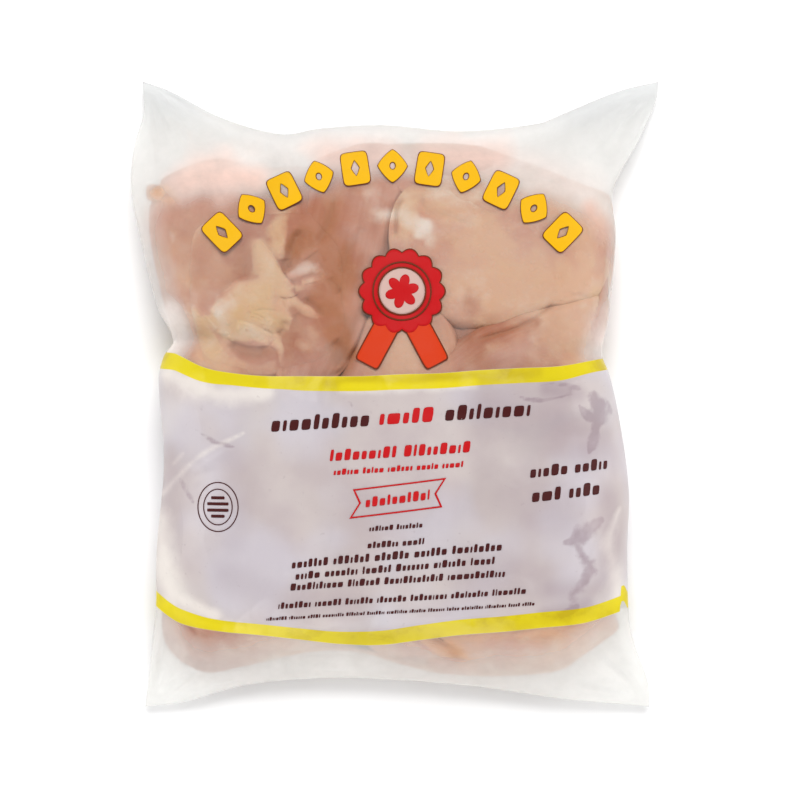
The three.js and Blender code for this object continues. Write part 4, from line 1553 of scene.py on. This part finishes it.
def gap_map(upper):
    """Millimetres from the film to the contents in each cell of a plan grid, averaged a little."""
    low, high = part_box(NODE)
    rows = int((high.y - low.y) / MM / MAP_CELL) + 2
    columns = int((high.x - low.x) / MM / MAP_CELL) + 2
    sign = 1 if upper else -1
    heights = np.full((rows, columns), NOTHING)
    for piece in bpy.context.scene.objects:
        if not piece.name.startswith(("leg_quarter", "loose_skin", "gristle", "meat_core")):
            continue
        points = np.empty(len(piece.data.vertices) * 3, np.float32)
        piece.data.vertices.foreach_get("co", points)
        points = points.reshape(-1, 3) / MM
        column = ((points[:, 0] - low.x / MM) / MAP_CELL).astype(int).clip(0, columns - 1)
        row = ((points[:, 1] - low.y / MM) / MAP_CELL).astype(int).clip(0, rows - 1)
        np.maximum.at(heights, (row, column), points[:, 2] * sign)
    for axis in (0, 1):
        before = np.roll(heights, 1, axis)
        heights = np.maximum(heights, np.maximum(before, np.roll(heights, -1, axis)))
    shift = bag_shift()
    x = low.x / MM + (np.arange(columns) + 0.5) * MAP_CELL - shift[0]
    y = low.y / MM + (np.arange(rows) + 0.5) * MAP_CELL - shift[1]
    x, y = np.meshgrid(x, y)
    s, t = sheet_place(x, y)
    film = skin_height(x, y, s.clip(-1, 1), t.clip(-1, 1), upper, EAR_GAP) + shift[2]
    gap = np.where(heights == NOTHING, EMPTY_GAP, (film - heights * sign) * sign).clip(0, EMPTY_GAP)
    inside = ((np.abs(s) < 1) & (np.abs(t) < 1)).astype(float)
    gap = gap * inside
    for _ in range(3):
        gap = box_average(gap, MAP_REACH)
        inside = box_average(inside, MAP_REACH)
    return gap / np.maximum(inside, 1e-6)


def gap_behind(points, upper):
    """The gap at each film point: the gap map, blended between its four nearest cells.

    It is less where the film is steep, and the film lifts off softly towards the ends of the meat.
    """
    low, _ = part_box(NODE)
    grid = gap_map(upper)
    column = ((points[..., 0] - low.x / MM) / MAP_CELL - 0.5).clip(0, grid.shape[1] - 1.001)
    row = ((points[..., 1] - low.y / MM) / MAP_CELL - 0.5).clip(0, grid.shape[0] - 1.001)
    i = row.astype(int)
    j = column.astype(int)
    near = mix(grid[i, j], grid[i, j + 1], column - j)
    far = mix(grid[i + 1, j], grid[i + 1, j + 1], column - j)
    level = np.abs(grid_normals(points)[..., 2])
    gap = mix(near, far, row - i) * mix(STEEP_SHARE, 1, level**2)
    top, bottom, side = past_ends(points[..., 0], points[..., 1])
    from_side = np.where(points[..., 0] > 0, RIGHT_LIFT_FROM, LEFT_LIFT_FROM)
    gap += END_GAP * (smooth_step(*TOP_LIFT, top) + smooth_step(*BOTTOM_LIFT, bottom))
    gap += SIDE_GAP * smooth_step(from_side, 0, side)
    if upper:
        clear = 1 - smooth_step(0.45, 0.95, sheet_reach(points[..., 0], points[..., 1]))
        gap = gap * (1 - SKIN_TOUCH * clear)
    return gap * (1 - JOINT_TOUCH * joint_tint(points[..., 0], points[..., 1]) * upper)


# Printed shapes, each a grid [row, column, xy] in its own millimetres

LAYER_STEP = 0.13  # from one ink to the next one over it
JOIN = 3e-6  # metres under which vertices of a print are one
LEAN = 0.2  # of the small blocks


def placed(shape, x, y, turn=0):
    """A shape turned and moved to its place on the bag."""
    across, along = turned(shape[..., 0], shape[..., 1], turn)
    return np.stack([x + across, y + along], axis=-1)


def bar(length, height, slant=0.0):
    """A bar with round ends, leaning by slant: half height times (1 - |2u - 1|^n)^(1/n)."""
    u = (1 - np.cos(np.linspace(0, np.pi, max(int(length / 1.1), 8) + 1))) / 2
    v = np.linspace(-1, 1, max(int(height / 1.2), 2) + 1)
    power = max(4.5, 4.5 * length / height)
    half = height / 2 * np.clip(1 - np.abs(2 * u - 1) ** power, 0, 1) ** (1 / power)
    y = v[:, None] * half[None, :]
    x = (u - 0.5) * length + slant * y
    return np.stack([x, y], axis=-1)


def ring(outer, inner, count=72, steps=4):
    """A closed ring between two outlines given as functions of the angle that return (x, y)."""
    theta = np.linspace(0, 2 * np.pi, count + 1)
    share = np.linspace(0, 1, steps + 1)[:, None, None]
    return mix(np.stack(inner(theta), -1)[None], np.stack(outer(theta), -1)[None], share)


def superellipse(half_x, half_y, power):
    """The outline |x / half_x|^power + |y / half_y|^power = 1, as a function of the angle."""

    def outline(theta):
        c = np.cos(theta)
        s = np.sin(theta)
        size = (np.abs(c) ** power + np.abs(s) ** power) ** (-1 / power)
        return half_x * c * size, half_y * s * size

    return outline


def circle(radius):
    """A circle's outline."""
    return superellipse(radius, radius, 2)


def centre_point(theta):
    """All points at the centre, which makes a ring a disc."""
    return np.zeros_like(theta), np.zeros_like(theta)


def scalloped(radius, depth, count):
    """A round outline with count scallops: radius + depth * |cos(count / 2 * angle)|."""

    def outline(theta):
        size = radius + depth * np.abs(np.cos(count / 2 * theta))
        return size * np.cos(theta), size * np.sin(theta)

    return outline


def banner(half_x, half_y, notch, lean):
    """A ribbon's outline with a notch in each end: straight between its corners."""
    corners = np.array([
        (half_x, 0), (half_x + notch, half_y), (0, half_y), (-half_x - notch, half_y), (-half_x, 0),
        (-half_x - notch, -half_y), (0, -half_y), (half_x + notch, -half_y), (half_x, 0),
    ], float)
    corners[:, 0] += lean * corners[:, 1]

    def outline(theta):
        share = theta / (2 * np.pi) * (len(corners) - 1)
        order = np.arange(len(corners))
        return np.interp(share, order, corners[:, 0]), np.interp(share, order, corners[:, 1])

    return outline


def block_run(x0, x1, y, height, rise, words, random):
    """Rows of small leaning blocks in groups: where print was, without any of its signs."""
    turn = np.radians(rise)
    length = (x1 - x0) / np.cos(turn)
    shares = random.uniform(0.7, 1.4, words)
    gap = height * 0.7
    space = height * 0.2
    blocks = []
    at = -length / 2
    for word in shares / shares.sum() * (length - gap * (words - 1)):
        count = max(int(round(word / (height * 0.66))), 1)
        sizes = random.uniform(0.35, 1.3, count)
        for size in sizes / sizes.sum() * (word - space * (count - 1)):
            tall = height * random.choice([1.0, 0.72, 0.72])
            drop = (tall - height) / 2
            block = bar(size, tall, LEAN) + np.array([LEAN * drop, drop])
            across, along = turned(at + size / 2, 0, rise)
            blocks.append(placed(block, (x0 + x1) / 2 + across, y + along, rise))
            at += size + space
        at += gap - space
    return blocks


def ink_object(name, shapes, level, material, settings):
    """Thin closed patches that follow the film: two copies of each grid, and walls round its open edges.

    A shape whose first and last columns meet is a ring and gets no wall there.
    """
    film = film_faces()
    lift = settings.ink_lift + level * LAYER_STEP
    vertices = []
    faces = []
    start = 0
    for shape in shapes:
        rows, columns = shape.shape[:2]
        closed = np.allclose(shape[:, 0], shape[:, -1])
        low = film.on_top(shape[..., 0], shape[..., 1], lift)
        high = film.on_top(shape[..., 0], shape[..., 1], lift + settings.ink_thickness)
        vertices.append(np.concatenate([low.reshape(-1, 3), high.reshape(-1, 3)]))
        index = start + np.arange(rows * columns).reshape(rows, columns)
        above = index + rows * columns
        start += 2 * rows * columns
        faces += face_pair(above, index)
        edges = [(index[0], above[0]), (index[-1], above[-1])]
        if not closed:
            edges += [(index[:, 0], above[:, 0]), (index[:, -1], above[:, -1])]
        for below, over in edges:
            faces += np.stack([below[:-1], below[1:], over[1:], over[:-1]], axis=-1).tolist()
    return new_object(name, np.concatenate(vertices), faces, material, join=JOIN)


# Operators


class BAG_OT_leg_quarters(Operator):
    """Makes the two layers of leg quarters and the meat deep between them"""

    bl_idname = "bag.leg_quarters"
    bl_label = "Leg quarters"

    def execute(self, context):
        settings = context.scene.bag_meat
        material = meat_material(settings)
        for number, leg in enumerate(UPPER_LEGS, 1):
            leg_object(f"leg_quarter_upper_{number}", leg, True, 100 + 10 * number, material)
        for number, leg in enumerate(UNDER_LEGS, 1):
            leg_object(f"leg_quarter_under_{number}", leg, False, 400 + 10 * number, material)
        core_object(material)
        return {"FINISHED"}


class BAG_OT_loose_skin(Operator):
    """Makes the loose skin and the gristle that show through the film"""

    bl_idname = "bag.loose_skin"
    bl_label = "Loose skin and gristle"

    def execute(self, context):
        material = bpy.data.materials["raw_chicken"]
        sheet_object(material)
        for number, (x, y, long, short, turn) in enumerate(KNOBS, 1):
            knob_object(f"gristle_{number}", x, y, long, short, turn, 800 + number, material)
        return {"FINISHED"}


class BAG_OT_film(Operator):
    """Makes the sealed film with its printed band"""

    bl_idname = "bag.film"
    bl_label = "Film"

    def execute(self, context):
        film = film_faces()
        below_top = (through_landmarks(BAND_TOP, film.x) - film.y) / through_landmarks(TOP_STRIPE, film.x)
        above_bottom = film.y - through_landmarks(BAND_BOTTOM, film.x)
        eased = 1 - smooth_step(FOLD_X + FOLD_EASE[0], FOLD_X + FOLD_EASE[1], film.x)
        tucked = FOLD_RISE * (film.x > FOLD_X) * eased
        stripe_width = through_landmarks(BOTTOM_STRIPE, film.x)
        # peach is painted light, the glow through the flesh
        veil, peach = film_veils(film.x, film.y)
        top_y = outline_point((film.s + 1) / 2, np.ones_like(film.t))[1]
        # painted shade on the upper ears, greyest at their welds
        tip = smooth_step(*TIP_FROM, film.y - through_landmarks(MEAT_TOP, film.x))
        values = {
            "gap": (gap_behind(film.upper, True), gap_behind(film.lower, False)),
            "below_top": below_top,
            "above_bottom": ((above_bottom - tucked) / stripe_width, above_bottom / stripe_width),
            "wet": (patches(film.x, film.y, WET_PATCHES), NO_PATCH),
            "loose": (patches(film.x, film.y, PALE_PATCHES), NO_PATCH),
            "shade": (strokes(film.x, film.y, BAND_SHADES)[0], 0),
            "veil": (veil, 0),
            "peach": (peach, 0),
            "tip": tip * mix(TIP_PLAIN, 1, hump(top_y - film.y, TIP_WIDTH)),
        }
        material = film_material(context.scene.bag_film)
        made = two_faced_object("film", film.upper, film.lower, material, values)
        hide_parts(NODE)
        return {"FINISHED"}


TITLE_CENTRE = (-2, -8.5)
TITLE_RADIUS = 139.5
TITLE_SPREAD = 44.0  # degrees each side of the middle
TITLE_COUNT = 11
TITLE_SHAPES = [  # half sizes and power of its outline and of its hole
    ((7.6, 10), 7, (2.6, 5), 1.1), ((8.4, 10), 1.25, (1.8, 2.4), 2),
]
OUTLINE_WIDTH = 0.45
ROSETTE = (3.4, 51)
ROSETTE_RISE = 7  # of its disc above its place
SCALLOPS = (2.6, 14)  # depth and count
TAIL = (34, 13.5)
TAIL_TURN = 62


class BAG_OT_title(Operator):
    """Prints the arch of yellow blocks and diamonds with thin dark outlines"""

    bl_idname = "bag.title"
    bl_label = "Arch of blocks"

    def execute(self, context):
        settings = context.scene.bag_print
        fills = []
        outlines = []
        for number in range(TITLE_COUNT):
            lean = mix(-TITLE_SPREAD, TITLE_SPREAD, number / (TITLE_COUNT - 1))
            x, y = np.add(TITLE_CENTRE, turned(0, TITLE_RADIUS, -lean))
            half, power, hole, hole_power = TITLE_SHAPES[number % 2]
            for shapes, grown in ((fills, 0), (outlines, OUTLINE_WIDTH)):
                outer = superellipse(half[0] + grown, half[1] + grown, power)
                inner = superellipse(hole[0] - grown, hole[1] - grown, hole_power)
                shapes.append(placed(ring(outer, inner, 80, 8), x, y, -lean))
        dark = ink_material("dark_outline_ink", settings.outline)
        ink_object("print_arch_outline", outlines, 0, dark, settings)
        ink_object("print_arch", fills, 1, ink_material("yellow_ink", settings.yellow), settings)
        return {"FINISHED"}


class BAG_OT_rosette(Operator):
    """Prints the rosette with its two ribbons"""

    bl_idname = "bag.rosette"
    bl_label = "Rosette"

    def execute(self, context):
        settings = context.scene.bag_print
        x, y = ROSETTE
        red = ink_material("red_ink", settings.red)
        dark = bpy.data.materials["dark_outline_ink"]
        pale = ink_material("pale_ink", settings.pale)
        orange = ink_material("orange_ink", settings.orange)

        def disc(outer, steps, count=112, inner=centre_point, turn=0):
            return [placed(ring(outer, inner, count, steps), x, y + ROSETTE_RISE, turn)]

        def tails(grown):
            ribbon = bar(TAIL[0] + grown, TAIL[1] + grown)
            return [placed(ribbon, x + side * 12, y - 19, -side * TAIL_TURN) for side in (-1, 1)]

        hoops = []
        for radius in (13.5, 16.5):
            hoops += disc(circle(radius + OUTLINE_WIDTH), 1, 72, circle(radius - OUTLINE_WIDTH))
        inks = [
            ("_outline", tails(1.6) + disc(scalloped(22.3, *SCALLOPS), 14), dark),
            ("_ribbons", tails(0), orange),
            ("", disc(scalloped(21.5, *SCALLOPS), 14), red),
            ("_middle", disc(circle(13.2), 9, 72), pale),
            ("_flower", disc(scalloped(5.6, 4.2, 6), 7, 72, turn=15), red),
            ("_hoops", hoops, dark),
        ]
        for level, (name, shapes, material) in enumerate(inks):
            ink_object("print_rosette" + name, shapes, level, material, settings)
        return {"FINISHED"}


LINES = [  # x from, x to, y at the middle, height, rise in degrees, groups, ink
    (-70, -15, -15.6, 8.4, 3.4, 1, "maroon"),
    (-9, 21, -12.4, 8.4, 3.4, 1, "red"),
    (28, 76, -9.6, 8.4, 3.4, 1, "maroon"),
    (-37, 42, -32.3, 6.4, 3.6, 2, "red"),
    (-35, 38, -41.9, 3.4, 3.6, 5, "red"),
    (-15, 15, -75.2, 2.9, 4.2, 2, "maroon"),
    (-16, 16, -84.6, 3.6, 4.2, 2, "maroon"),
    (-59, 60, -91.6, 4.6, 5.0, 5, "maroon"),
    (-57, 56, -99.0, 4.2, 4.6, 6, "maroon"),
    (-60, 62, -106.0, 4.0, 3.8, 4, "maroon"),
    (-67, 74, -116.4, 3.6, 3.6, 7, "maroon"),
    (-74, 79, -124.1, 2.0, 3.4, 14, "maroon"),
    (76, 121, -42.0, 6.4, 6.0, 2, "maroon"),
    (77, 116, -55.6, 7.2, 6.0, 2, "maroon"),
]
RIBBON = (1, -59)
RIBBON_TURN = 7
RIBBON_OUTER = (22, 8.2, 4.5, 0.25)  # half sizes, notch and lean
RIBBON_INNER = (20.8, 7.3, 4.2, 0.25)
STAMP = (-101, -64.2)
STAMP_HOOPS = [(12, 14.2), (8.6, 10.4)]  # half sizes
STAMP_BARS = [(-5.2, 8), (-1.8, 12.5), (1.8, 12.5), (5.2, 8)]  # place above its middle, length
STAMP_INK = 0.6


class BAG_OT_lines(Operator):
    """Prints the rows of bars, the label outline and the round stamp"""

    bl_idname = "bag.lines"
    bl_label = "Bars and stamp"

    def execute(self, context):
        settings = context.scene.bag_print
        maroon = ink_material("maroon_ink", settings.maroon)
        shapes = {"maroon": [], "red": []}
        random = np.random.default_rng(41)
        for x0, x1, y, height, rise, words, ink in LINES:
            shapes[ink] += block_run(x0, x1, y, height, rise, words, random)
        ribbon = ring(banner(*RIBBON_OUTER), banner(*RIBBON_INNER), 96, 1)
        shapes["red"].append(placed(ribbon, *RIBBON, RIBBON_TURN))
        shapes["red"] += block_run(RIBBON[0] - 18, RIBBON[0] + 18, RIBBON[1], 5.6, RIBBON_TURN, 1, random)
        for half_x, half_y in STAMP_HOOPS:
            inner = superellipse(half_x - STAMP_INK, half_y - STAMP_INK, 2)
            shapes["maroon"].append(placed(ring(superellipse(half_x, half_y, 2), inner, 72, 1), *STAMP))
        for offset, length in STAMP_BARS:
            shapes["maroon"].append(placed(bar(length, 1.7), STAMP[0], STAMP[1] + offset))
        ink_object("print_bars_dark", shapes["maroon"], 0, maroon, settings)
        ink_object("print_bars_red", shapes["red"], 0, bpy.data.materials["red_ink"], settings)
        return {"FINISHED"}


AXIS = (0.0023, -0.0035)  # where the camera's line of sight meets the table, in metres from here on
WIDEST_HEIGHT = 0.030
SENSOR = 36
FLOOR_HALF = 4.0
FLOOR_HEIGHT = -0.0004
LIGHTS = [  # name, place, width, its setting and its share of that
    ("key", (0.10, 1.15, 1.75), 1.2, "key_power", 1),
    ("fill_front", (0.0, -1.90, 0.60), 1.0, "fill_power", 1),
    ("fill_left", (-1.9, 0.0, 0.60), 1.0, "fill_power", 0.75),
    ("fill_right", (1.9, -0.1, 0.60), 1.0, "fill_power", 0.75),
]


class BAG_OT_stage(Operator):
    """Makes the camera, the pale floor and the soft lights"""

    bl_idname = "bag.stage"
    bl_label = "Stage"

    def execute(self, context):
        settings = context.scene.bag_stage
        scene = context.scene
        scene.view_settings.view_transform = "Standard"
        camera_data = bpy.data.cameras.new("camera")
        camera_data.sensor_width = SENSOR
        camera_data.lens = SENSOR * (settings.camera_height - WIDEST_HEIGHT) / settings.frame_width
        camera = bpy.data.objects.new("camera", camera_data)
        camera.location = (*AXIS, settings.camera_height)
        scene.collection.objects.link(camera)
        scene.camera = camera
        floor_mesh = bpy.data.meshes.new("floor")
        signs = ((-1, -1), (1, -1), (1, 1), (-1, 1))
        corners = [(x * FLOOR_HALF, y * FLOOR_HALF, FLOOR_HEIGHT) for x, y in signs]
        floor_mesh.from_pydata(corners, [], [(0, 1, 2, 3)])
        m = Shader("pale_floor", settings, Roughness=0.7)
        dark_tone = colour([c * 0.9 for c in settings.floor_colour])
        m.set("Base Color", m.blend(m.noise(30, 3.0) * 0.06, "floor_colour", dark_tone))
        floor_mesh.materials.append(m.material)
        floor = bpy.data.objects.new("floor", floor_mesh)
        scene.collection.objects.link(floor)
        for name, place, width, power, share in LIGHTS:
            light_data = bpy.data.lights.new(name, "AREA")
            light_data.shape = "DISK"
            light_data.size = width
            light_data.energy = getattr(settings, power) * share
            lamp = bpy.data.objects.new(name, light_data)
            lamp.location = place
            lamp.rotation_euler = (-Vector(place)).to_track_quat("-Z", "Y").to_euler()
            scene.collection.objects.link(lamp)
        world = bpy.data.worlds.new("white_room")
        world.use_nodes = True
        background = world.node_tree.nodes["Background"]
        background.inputs["Color"].default_value = (1, 1, 1, 1)
        background.inputs["Strength"].default_value = settings.world_strength
        scene.world = world
        return {"FINISHED"}


OPERATORS = [
    BAG_OT_leg_quarters,
    BAG_OT_loose_skin,
    BAG_OT_film,
    BAG_OT_title,
    BAG_OT_rosette,
    BAG_OT_lines,
    BAG_OT_stage,
]
SETTINGS = {
    "bag_film": FilmSettings,
    "bag_meat": MeatSettings,
    "bag_print": PrintSettings,
    "bag_stage": StageSettings,
}


class BAG_PT_panel(Panel):
    """Lists the settings and the operators"""

    bl_label = "Bag of leg quarters"
    bl_space_type = "VIEW_3D"
    bl_region_type = "UI"
    bl_category = "Bag"

    def draw(self, context):
        for label, group in SETTINGS.items():
            box = self.layout.box()
            box.label(text=group.__doc__)
            for setting in group.__annotations__:
                box.prop(getattr(context.scene, label), setting)
        for operator in OPERATORS:
            self.layout.operator(operator.bl_idname)


def register():
    for item in [*SETTINGS.values(), *OPERATORS, BAG_PT_panel]:
        bpy.utils.register_class(item)
    for label, group in SETTINGS.items():
        setattr(bpy.types.Scene, label, PointerProperty(type=group))


def unregister():
    for label in SETTINGS:
        delattr(bpy.types.Scene, label)
    for item in reversed([*SETTINGS.values(), *OPERATORS, BAG_PT_panel]):
        bpy.utils.unregister_class(item)


def main():
    register()
    for operator in OPERATORS:
        group, name = operator.bl_idname.split(".")
        getattr(getattr(bpy.ops, group), name)()


if __name__ == "__main__":
    main()
